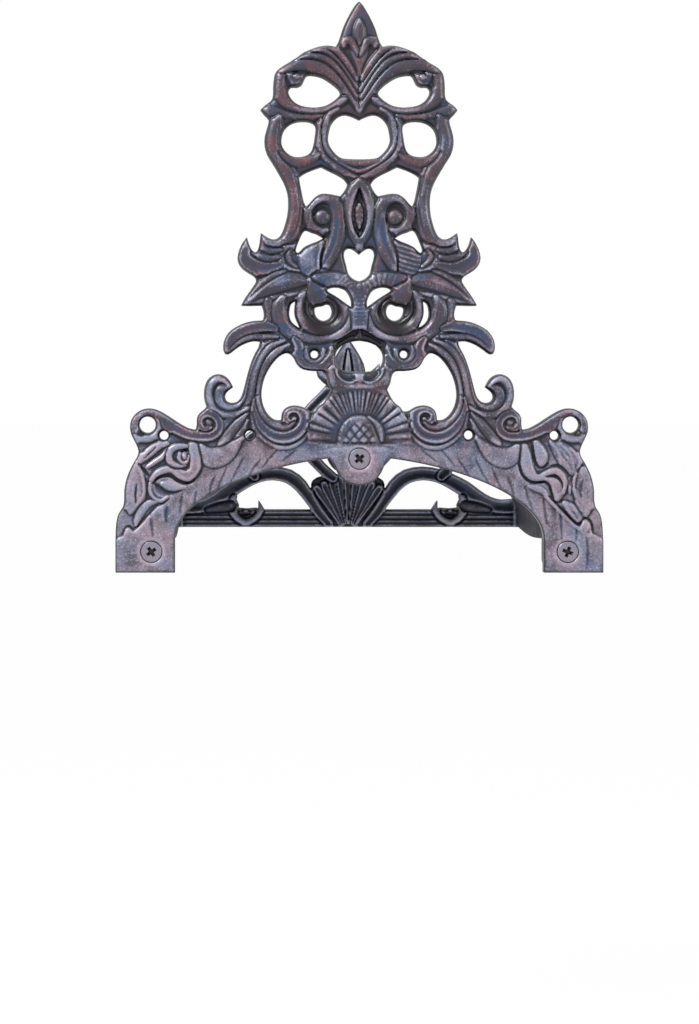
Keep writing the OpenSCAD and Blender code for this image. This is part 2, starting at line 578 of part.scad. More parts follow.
module shelf() {
    color(iron) difference() {
        union() {
            intersection() {
                upright(-wall_t, shelf_depth) difference() {
                    shelf_arch(shelf_t);
                    shelf_arch(0);
                }
                translate([-front_w / 2, -wall_t - shelf_depth, -origin_z])
                    rotate([90, 0, 90]) linear_extrude(front_w) shelf_side();
            }
            upright(front_back_y + lug_t, lug_t) foot_lug_area(foot_lug_z0, foot_lug_z1);
            upright(front_back_y + lug_t, lug_t) crown_lug_area();
            upright(-wall_t, lug_t) foot_lug_area(rear_lug_z0, rear_lug_z1);
            upright(-wall_t, lug_t) crown_lug_area();
        }
        for (p = screw_places(foot_screw_z))
            rod(p.x, front_back_y + lug_t + overlap, p.y, screw_d / 2 + play, lug_t + 2 * overlap);
        for (p = screw_places(rear_screw_z))
            rod(p.x, -wall_t + overlap, p.y, screw_d / 2 + play, lug_t + 2 * overlap);
    }
}

module wall_stroke(points) {
    both_sides() translate([0, wall_z]) stroke(sized(points, wall_scale));
}

module wall_half_shape(half) {
    translate([0, wall_z]) polygon(mirrored_ring(half_curve(sized(half, wall_scale))));
}

module wall_pad_area() {
    pad_lap = 2;
    pad_in = arch_w / 2 - pad_lap;
    both_sides() translate([pad_in + pad_corner, wall_z + pad_corner]) offset(r = pad_corner)
        square([foot_screw_x + lug_w / 2 - pad_in - 2 * pad_corner,
                pad_top - wall_z - 2 * pad_corner]);
    translate([0, crown_screw_z]) circle(r = crown_lug_r + 0.5);
    both_sides() translate([upper_spacing / 2, upper_hole_z]) circle(r = upper_boss_r);
}

module wall_area() {
    translate([-wall_w / 2, wall_z]) square([wall_w, bar_h]);
    for (s = wall_strokes)
        wall_stroke(s);
    wall_stroke(wall_curl_fill);
    wall_stroke(wall_branch_web);
    wall_half_shape(wall_fan);
    wall_half_shape(wall_finial);
    wall_pad_area();
}

module fan_flute(angle) {
    turn = [sin(angle), cos(angle)];
    stroke([
        [fan_r0 * turn.x, wall_z - fan_root + fan_r0 * turn.y, fan_flute_w0],
        [fan_r1 * turn.x, wall_z - fan_root + fan_r1 * turn.y, fan_flute_w1]
    ]);
}

module wall_relief_area() {
    rib = 2;
    for (z = [0 : 1 : 2])
        translate([-wall_w / 2, wall_z + 0.8 + z * (bar_h - rib - 1.6) / 2])
            square([wall_w, rib]);
    for (s = wall_strokes)
        wall_stroke([for (p = s) [p.x, p.y, max(p[2] - 1.2, 0.3)]]);
    wall_stroke(wall_curl_inner);
    wall_stroke([[0, 92, 2], [0, 104, 3.4], [0, 114, 2], [0, 120, 0.4]]);
    for (i = [0 : fan_flutes - 1])
        fan_flute(-fan_spread / 2 + fan_spread * i / (fan_flutes - 1));
    wall_pad_area();
}

module wall_casting() {
    edge_inset = 0.4;
    color(dark_iron) difference() {
        union() {
            upright(0, wall_ground_t) offset(delta = 0) wall_area();
            upright(-wall_ground_t + overlap, wall_t - wall_ground_t + overlap)
                offset(delta = 0) intersection() {
                    offset(delta = -edge_inset) wall_area();
                    wall_relief_area();
                }
        }
        for (side = [-1, 1]) {
            rod(side * upper_spacing / 2, overlap, upper_hole_z, wall_hole_d / 2,
                wall_t + 2 * overlap);
            rod(side * lower_hole_x, overlap, lower_hole_z, wall_hole_d / 2, wall_t + 2 * overlap);
        }
        for (p = screw_places(rear_screw_z))
            screw_hole(p.x, 0, p.y, wall_t, -1);
    }
}

// Countersunk screw with a cross recess. The head lies flush in the plane face_y.
module machine_screw(place, face_y, way) {
    tip = 0.8;
    color(screw_colour) translate([place.x, face_y, place.y - origin_z])
        rotate([-90 * way, 0, 0]) difference() {
            union() {
                cylinder(h = head_rim, r = head_r);
                translate([0, 0, head_rim]) cylinder(h = head_cone, r1 = head_r, r2 = screw_d / 2);
                cylinder(h = screw_l - tip, r = screw_d / 2);
                translate([0, 0, screw_l - tip])
                    cylinder(h = tip, r1 = screw_d / 2, r2 = screw_d / 2 - tip);
            }
            for (a = [45, 135])
                rotate(a) translate([-recess_d / 2, -recess_slot / 2, -overlap])
                    cube([recess_d, recess_slot, recess_depth + overlap]);
        }
}

// Washer and nut sit on the inner face of a lug, and grow to +Y where way is 1
module flat_washer(place, face_y, way) {
    color(screw_colour) translate([place.x, face_y, place.y - origin_z])
        rotate([-90 * way, 0, 0]) difference() {
            cylinder(h = washer_t, r = washer_d / 2);
            translate([0, 0, -overlap])
                cylinder(h = washer_t + 2 * overlap, r = screw_d / 2 + play);
        }
}

module hex_nut(place, face_y, way) {
    color(screw_colour) translate([place.x, face_y + way * washer_t, place.y - origin_z])
        rotate([-90 * way, 0, 0]) difference() {
            rotate(30) cylinder(h = nut_t, r = nut_af / sqrt(3), $fn = 6);
            translate([0, 0, -overlap]) cylinder(h = nut_t + 2 * overlap, r = screw_d / 2 + play / 2);
        }
}

front_places = screw_places(foot_screw_z);
rear_places = screw_places(rear_screw_z);
front_lug_y = front_back_y + lug_t;
rear_lug_y = -wall_t - lug_t;

front_casting();
shelf();
wall_casting();
machine_screw(front_places[0], front_face_y, 1);  // front_screw_left
machine_screw(front_places[1], front_face_y, 1);  // front_screw_right
machine_screw(front_places[2], front_face_y, 1);  // front_screw_crown
flat_washer(front_places[0], front_lug_y, 1);  // front_washer_left
flat_washer(front_places[1], front_lug_y, 1);  // front_washer_right
flat_washer(front_places[2], front_lug_y, 1);  // front_washer_crown
hex_nut(front_places[0], front_lug_y, 1);  // front_nut_left
hex_nut(front_places[1], front_lug_y, 1);  // front_nut_right
hex_nut(front_places[2], front_lug_y, 1);  // front_nut_crown
machine_screw(rear_places[0], 0, -1);  // rear_screw_left
machine_screw(rear_places[1], 0, -1);  // rear_screw_right
machine_screw(rear_places[2], 0, -1);  // rear_screw_crown
flat_washer(rear_places[0], rear_lug_y, -1);  // rear_washer_left
flat_washer(rear_places[1], rear_lug_y, -1);  // rear_washer_right
flat_washer(rear_places[2], rear_lug_y, -1);  // rear_washer_crown
hex_nut(rear_places[0], rear_lug_y, -1);  // rear_nut_left
hex_nut(rear_places[1], rear_lug_y, -1);  // rear_nut_right
hex_nut(rear_places[2], rear_lug_y, -1);  // rear_nut_crown
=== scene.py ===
# Wall hose holder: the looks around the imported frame. Units are metres, with MM for sizes that
# are given in millimetres. Reliefs are drawn in millimetres: x from the centre line, z from the
# feet of the front casting.
import math

import bmesh
import bpy
import numpy as np
from mathutils import Matrix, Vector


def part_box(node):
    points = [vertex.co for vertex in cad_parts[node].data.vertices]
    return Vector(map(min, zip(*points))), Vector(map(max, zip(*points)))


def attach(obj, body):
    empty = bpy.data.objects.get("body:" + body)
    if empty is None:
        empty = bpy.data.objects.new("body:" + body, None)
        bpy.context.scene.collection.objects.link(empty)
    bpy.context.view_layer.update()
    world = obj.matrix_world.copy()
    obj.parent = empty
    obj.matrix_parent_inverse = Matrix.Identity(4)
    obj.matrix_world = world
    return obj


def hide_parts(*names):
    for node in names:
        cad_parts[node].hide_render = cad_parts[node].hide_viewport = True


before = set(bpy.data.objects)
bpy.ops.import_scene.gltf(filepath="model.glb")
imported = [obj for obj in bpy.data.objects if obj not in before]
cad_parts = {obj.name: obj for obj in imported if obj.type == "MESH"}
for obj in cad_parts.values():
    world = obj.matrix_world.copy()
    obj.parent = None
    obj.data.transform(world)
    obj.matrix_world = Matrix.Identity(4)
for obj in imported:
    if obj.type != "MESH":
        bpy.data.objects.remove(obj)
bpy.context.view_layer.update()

MM = 0.001
FULL_TURN = 2 * math.pi

front_low, front_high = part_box("front_casting")
wall_low, wall_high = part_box("wall_casting")
FEET_Z = front_low[2] / MM

# Camera
IMAGE_W, IMAGE_H = 699, 1024
PX_PER_MM = 1.68
CAMERA_DISTANCE = 1320
CAMERA_X = -77
CAMERA_Z = 107
CENTRE_LINE_PX = 359.6
FEET_PX = 573

# Reliefs
GRID = 0.5
MOAT = 0.5
SPREAD = 0.3
LEAST_HALF_WIDTH = 0.2
EDGE_FADE = 1.2
MOST_DRAWN_IN = 0.3
RIB_BEND = 1.2
FINEST_DETAIL = 0.38
LEAST_HEIGHT = 2
LEAST_PHI = 0.08
SKIN = 0.05
REAR_ROUND = 0.5
SHELL_Z = 79.0

# How the finish reads a relief: it is compared with a near and a wide blur of itself. What stands
# above the near blur gets a painted highlight; what lies below the near or the wide blur gets painted
# shade
NEAR_BLUR, RELIEF_SCALE = 1.4, 0.6
WIDE_BLUR, RECESS_SCALE = 5.0, 3.0
# Painted shade laid on the flat rear face
REAR_RECESS = 0.1

# Screws: M6, countersunk
SINK_R = 6.6
SINK_LIP, SINK_LIP_DROP = 0.8, 0.45
SEAT_DROP = 1.0
SNAP = 0.36


def screw_axis(node):
    """Where a screw's axis meets the casting: x from the centre line, z above the feet, in mm."""
    low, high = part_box(node)
    return (low[0] + high[0]) / 2 / MM, (low[2] + high[2]) / 2 / MM - FEET_Z


def link(name, data):
    """New object in the scene."""
    obj = bpy.data.objects.new(name, data)
    bpy.context.scene.collection.objects.link(obj)
    return obj


def smoothstep(low, high, value):
    t = np.clip((value - low) / (high - low), 0, 1)
    return t * t * (3 - 2 * t)


def spline(points, steps=6):
    """Smooth open curve through points of any number of values."""
    p = np.array(points, float)
    n = len(p)
    out = []
    for i in range(n - 1):
        a, b, c, d = p[max(i - 1, 0)], p[i], p[i + 1], p[min(i + 2, n - 1)]
        for s in range(steps):
            t = s / steps
            out.append(0.5 * (2 * b + (c - a) * t + (2 * a - 5 * b + 4 * c - d) * t * t
                              + (3 * b - a - 3 * c + d) * t ** 3))
    out.append(p[-1])
    return np.array(out)


# Silhouette of a casting, read from the flat rear face of its CAD solid

def rear_outline(node):
    """Edges round the flat rear face, as rows of x0, z0, x1, z1 in mm."""
    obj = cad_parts[node]
    mesh = obj.data
    co = np.empty(len(mesh.vertices) * 3)
    mesh.vertices.foreach_get("co", co)
    co = co.reshape(-1, 3) @ np.array(obj.matrix_world.to_3x3()).T
    rear = co[:, 1].max()
    mesh.calc_loop_triangles()
    tris = np.empty(len(mesh.loop_triangles) * 3, int)
    mesh.loop_triangles.foreach_get("vertices", tris)
    tris = tris.reshape(-1, 3)
    flat = tris[(np.abs(co[tris][:, :, 1] - rear) < 1e-6).all(axis=1)]
    keys, welded = np.unique(np.round(co[:, [0, 2]] / MM, 3), axis=0, return_inverse=True)
    flat = welded.reshape(-1)[flat]
    edges = np.sort(np.concatenate([flat[:, [0, 1]], flat[:, [1, 2]], flat[:, [2, 0]]]), axis=1)
    edges = edges[edges[:, 0] != edges[:, 1]]
    pairs, uses = np.unique(edges, axis=0, return_counts=True)
    border = pairs[uses == 1]
    rows = np.concatenate([keys[border[:, 0]], keys[border[:, 1]]], axis=1)
    rows[:, [1, 3]] -= FEET_Z
    return rows


class Field:
    """Square grid over a casting's silhouette, with the height of its front above its rear. A
    sculptor sets that height, the ground that strokes stand on, the dip of their feet below it,
    the lift that scales their rise, and painted shade, painted light and drift for the finish."""

    def __init__(self, node, edge_reach, margin=3.0, reach=9.0):
        edges = rear_outline(node)
        self.edge_reach = edge_reach
        self.rings = []
        low = edges.reshape(-1, 2).min(axis=0) - margin
        high = edges.reshape(-1, 2).max(axis=0) + margin
        self.xs = np.arange(low[0], high[0], GRID)
        self.zs = np.arange(low[1], high[1], GRID)
        self.x, self.z = np.meshgrid(self.xs, self.zs)
        self.phi = self.signed_distance(edges, reach)

    def window(self, low, high):
        """Slices of the grid between two corners."""
        j0, j1 = np.searchsorted(self.zs, (low[1], high[1]))
        i0, i1 = np.searchsorted(self.xs, (low[0], high[0]))
        return slice(j0, j1), slice(i0, i1)

    def near(self, centre, low, high):
        """1 within low mm of a point and of its mirror image, fading to 0 at high mm."""
        return 1 - smoothstep(low, high, np.hypot(np.abs(self.x) - centre[0], self.z - centre[1]))

    def spots(self, rows):
        """Sum of soft spots: x, z, reach and strength of each."""
        return sum(strength * np.exp(-((self.x - x) ** 2 + (self.z - z) ** 2) / reach ** 2)
                   for x, z, reach, strength in rows)

    def signed_distance(self, edges, reach):
        """Distance to the silhouette's edge in mm, positive inside."""
        crossings = np.zeros((len(self.zs), len(self.xs) + 1), int)
        distance = np.full(self.x.shape, reach)
        for x0, z0, x1, z1 in edges:
            rows = np.nonzero((self.zs >= min(z0, z1)) & (self.zs < max(z0, z1)))[0]
            if len(rows):
                cut = x0 + (self.zs[rows] - z0) / (z1 - z0) * (x1 - x0)
                crossings[rows, np.searchsorted(self.xs, cut)] += 1
            w = self.window((min(x0, x1) - reach, min(z0, z1) - reach),
                            (max(x0, x1) + reach, max(z0, z1) + reach))
            px, pz = self.x[w] - x0, self.z[w] - z0
            dx, dz = x1 - x0, z1 - z0
            t = np.clip((px * dx + pz * dz) / (dx * dx + dz * dz), 0, 1)
            distance[w] = np.minimum(distance[w], np.hypot(px - t * dx, pz - t * dz))
        inside = np.cumsum(crossings, axis=1)[:, :-1] % 2 == 1
        return np.where(inside, distance, -distance)

    def stroke_measure(self, points, reach, spread):
        """For the cells near a stroke: their window, distance outside its edge, place across it
        from -1 to 1, and length along it in mm. A stroke's side that comes within reach of the
        silhouette's edge is drawn out to it."""
        c = spline(points)
        wide = c[:, 2].max() + MOAT + reach + GRID
        w = self.window(c[:, :2].min(axis=0) - wide, c[:, :2].max(axis=0) + wide)
        gx, gz, phi = self.x[w], self.z[w], self.phi[w]
        best = np.full(gx.shape, 1e9)
        across = np.zeros_like(gx)
        along = np.zeros_like(gx)
        start = 0.0
        for a, b in zip(c[:-1], c[1:]):
            dx, dz = b[0] - a[0], b[1] - a[1]
            length = math.hypot(dx, dz)
            if length < 1e-6:
                continue
            px, pz = gx - a[0], gz - a[1]
            t = np.clip((px * dx + pz * dz) / length ** 2, 0, 1)
            d = np.hypot(px - t * dx, pz - t * dz)
            half = np.maximum(a[2] + t * (b[2] - a[2]), LEAST_HALF_WIDTH) + spread
            if reach:
                spare = d + phi - half
                pull = 1 - smoothstep(reach, reach + EDGE_FADE, spare)
                half = half + pull * np.maximum(spare, -MOST_DRAWN_IN * half)
            gap = d - half
            near = gap < best
            side = np.where(px * dz - pz * dx > 0, 1.0, -1.0)
            best = np.where(near, gap, best)
            across = np.where(near, side * d / half, across)
            along = np.where(near, start + t * length, along)
            start += length
        return w, best, across, along

    def paint(self, kind, rise, points, ribs=None):
        """Lays one stroke over the relief, with a narrow moat round it. Ribs across it are given
        as pitch, depth and, where they stay level instead of turning with it, their lean."""
        reach, spread = (0, 0) if kind in CUTS else (self.edge_reach, SPREAD)
        w, gap, across, along = self.stroke_measure(points, reach, spread)
        u = np.clip(np.abs(across), 0, 1)
        old = self.height[w]
        if ribs:
            pitch, depth, lean = ribs
            turning = along + RIB_BEND * across
            place = turning if lean is None else self.z[w] + lean * self.x[w]
            wave = 0.5 + 0.5 * np.sin(FULL_TURN * place / pitch)
        if kind in CUTS:
            bite = rise * CUTS[kind](u, across)
            self.height[w] = np.where(gap < 0, old - bite * (wave if ribs else 1), old)
            return
        foot = self.ground[w] - self.dip[w]
        new = foot + rise * self.lift[w] * PROFILES[kind](u)
        if ribs:
            new = new - depth * wave * (1 - across ** 4)
        if kind == "m":
            self.height[w] = np.where(gap < 0, np.maximum(new, old), old)
            return
        moat = foot + (old - foot) * smoothstep(0, MOAT, gap)
        moat = np.where(old > foot, moat, old)
        self.height[w] = np.where(gap < 0, new, np.where(gap < MOAT, moat, old))

    def soften(self, array, sigma):
        """Gaussian blur within the silhouette, sigma in mm."""
        reach = int(math.ceil(2.5 * sigma / GRID))
        taps = np.exp(-0.5 * (np.arange(-reach, reach + 1) * GRID / sigma) ** 2)
        solid = (self.phi > -GRID).astype(float)

        def blur(a):
            for axis in (0, 1):
                total = np.zeros_like(a)
                for k, tap in zip(range(-reach, reach + 1), taps):
                    total += tap * np.roll(a, k, axis=axis)
                a = total
            return a
        return blur(array * solid) / np.maximum(blur(solid), 1e-6)


# Profiles of strokes: u is the place across, 0 in the middle and 1 at the edge

def round_profile(u):
    return np.sqrt(1 - u ** 2)


def gutter_profile(u, rim=0.78, floor=0.6):
    """Two round rims with a hollow between them."""
    hollow = floor + (1 - floor) * (u / rim) ** 2
    roll = np.sqrt(np.clip(1 - ((u - rim) / (1 - rim)) ** 2, 0, 1))
    return np.where(u < rim, hollow, roll)


def crest_profile(u):
    """A crest along the middle of a leaf."""
    return (0.35 + 0.65 * (1 - u) ** 0.9) * np.sqrt(1 - u ** 6)


def flat_profile(u):
    return (1 - u ** 6) ** 0.5


def lined_profile(u, lines=2.3):
    """Round, with fine lines running along it."""
    return np.sqrt(1 - u ** 2) * (0.88 + 0.12 * np.cos(FULL_TURN * lines * u))


def groove_cut(u, across):
    return np.sqrt(1 - u ** 2)


def dent_cut(u, across, crease=0.4, crease_half=0.35):
    """Soft hollow with a crease along one side of it."""
    line = np.exp(-((across - crease) / crease_half) ** 2) * (1 - u ** 4)
    return 0.6 * (1 - u ** 2) ** 2 + 0.3 * line


CUTS = {"c": groove_cut, "d": dent_cut}
PROFILES = {"r": round_profile, "m": round_profile, "g": gutter_profile, "v": crest_profile,
            "p": flat_profile, "l": lined_profile}


# Meshes from height fields

def cell_ring(pattern):
    """Points round the solid part of a grid cell, by the pattern of its corners that are inside,
    and the pairs of them that are its open sides. Of the eight points round a cell the even ones
    are its corners, and the odd ones are where the silhouette crosses its edges."""
    inside = [pattern >> k & 1 for k in range(4)]
    ring = []
    for k in range(4):
        if inside[k]:
            ring.append(2 * k)
        if inside[k] != inside[(k + 1) % 4]:
            ring.append(2 * k + 1)
    pairs = [(k, (k + 1) % len(ring)) for k in range(len(ring))]
    return ring, [(a, b) for a, b in pairs if ring[a] % 2 and ring[b] % 2]


def rounding(phi, radius):
    """How far a rounded edge falls back, by the distance inside the silhouette."""
    return radius - np.sqrt(radius ** 2 - np.clip(radius - phi, 0, radius) ** 2)


def build_casting(name, node, field, round_edge):
    """Closed mesh of a casting: sculpted front, straight walls, flat rear with a soft edge. Four
    attributes drive its finish: relief (above or below what is near), recess (painted shade, by how
    deep it lies and by the painted shade set on the field), painted light and drift (bluer or rustier)."""
    least = LEAST_PHI * GRID
    phi = np.where(np.abs(field.phi) < least, least * np.where(field.phi < 0, -1, 1), field.phi)
    solid = phi > 0
    height = field.height - rounding(phi, round_edge)
    # Relief: the finish paints highlights where it is above 0 and shade where it is below 0
    relief = np.clip((field.height - field.soften(field.height, NEAR_BLUR)) / RELIEF_SCALE, -1, 1)
    # Painted shade: deeper below the wide blur, plus the painted shade that the sculptor set
    sunk = (field.soften(field.height, WIDE_BLUR) - height) / RECESS_SCALE
    recess = np.clip(sunk + field.soot, 0, 1)

    number = -np.ones(phi.shape, int)
    number[solid] = np.arange(solid.sum())
    total = int(solid.sum())
    flip_x = solid[:, :-1] != solid[:, 1:]
    flip_z = solid[:-1] != solid[1:]
    across = -np.ones(flip_x.shape, int)
    across[flip_x] = total + np.arange(flip_x.sum())
    up = -np.ones(flip_z.shape, int)
    up[flip_z] = total + flip_x.sum() + np.arange(flip_z.sum())
    border_count = int(flip_x.sum() + flip_z.sum())

    def on_border(values):
        """Values at the points where the silhouette crosses the grid."""
        tx = phi[:, :-1] / (phi[:, :-1] - phi[:, 1:] + 1e-12)
        tz = phi[:-1] / (phi[:-1] - phi[1:] + 1e-12)
        row = values[:, :-1] + tx * (values[:, 1:] - values[:, :-1])
        column = values[:-1] + tz * (values[1:] - values[:-1])
        return np.concatenate([row[flip_x], column[flip_z]])

    plan_x, plan_z = field.x.copy(), field.z.copy()
    for x, z, radius in field.rings:
        rho = np.hypot(plan_x - x, plan_z - z)
        pull = np.where(np.abs(rho - radius) < SNAP, radius / rho, 1)
        plan_x, plan_z = x + pull * (plan_x - x), z + pull * (plan_z - z)
    plan_x = np.concatenate([plan_x[solid], on_border(field.x)])
    plan_z = np.concatenate([plan_z[solid], on_border(field.z)]) + FEET_Z
    front_h = np.concatenate([height[solid], on_border(field.height) - round_edge])
    rear_cut = np.concatenate([rounding(phi, REAR_ROUND)[solid], np.full(border_count, REAR_ROUND)])
    half = total + border_count
    rear_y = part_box(node)[1][1] / MM
    front = np.stack([plan_x, rear_y - front_h, plan_z], axis=1)
    rear = np.stack([plan_x, rear_y - rear_cut, plan_z], axis=1)

    corner = solid[:-1, :-1] * 1 + solid[:-1, 1:] * 2 + solid[1:, 1:] * 4 + solid[1:, :-1] * 8
    ids = (number[:-1, :-1], across[:-1], number[:-1, 1:], up[:, 1:], number[1:, 1:], across[1:],
           number[1:, :-1], up[:, :-1])
    faces = {}
    walls = []
    for pattern in np.unique(corner[corner > 0]):
        ring, sides = cell_ring(pattern)
        cells = np.stack([ids[k][corner == pattern] for k in ring], axis=1)
        faces.setdefault(len(ring), []).append(cells)
        for a, b in sides:
            walls.append(cells[:, [a, b]])
    sheets = []
    for group in faces.values():
        cells = np.concatenate(group)
        sheets += [cells, cells[:, ::-1] + half]
    p, q = np.concatenate(walls).T
    sheets.append(np.stack([q, p, p + half, q + half], axis=1))

    mesh = bpy.data.meshes.new(name)
    vertices = np.concatenate([front, rear]) * MM
    loops = np.concatenate([s.reshape(-1) for s in sheets])
    sizes = np.concatenate([np.full(len(s), s.shape[1]) for s in sheets])
    mesh.vertices.add(len(vertices))
    mesh.vertices.foreach_set("co", vertices.reshape(-1))
    mesh.loops.add(len(loops))
    mesh.loops.foreach_set("vertex_index", loops)
    mesh.polygons.add(len(sizes))
    mesh.polygons.foreach_set("loop_start", np.concatenate([[0], np.cumsum(sizes)[:-1]]))
    mesh.update(calc_edges=True)
    mesh.validate()
    for key, values, rear_value in (("relief", relief, 0), ("recess", recess, REAR_RECESS),
                                    ("polish", field.polish, 0), ("drift", field.drift, 0)):
        store(mesh, key, np.concatenate([values[solid], on_border(values), np.full(half, rear_value)]))
    return link(name, mesh)


def store(mesh, name, values):
    mesh.attributes.new(name, "FLOAT", "POINT").data.foreach_set("value", values.astype(np.float32))


# Relief of the front casting

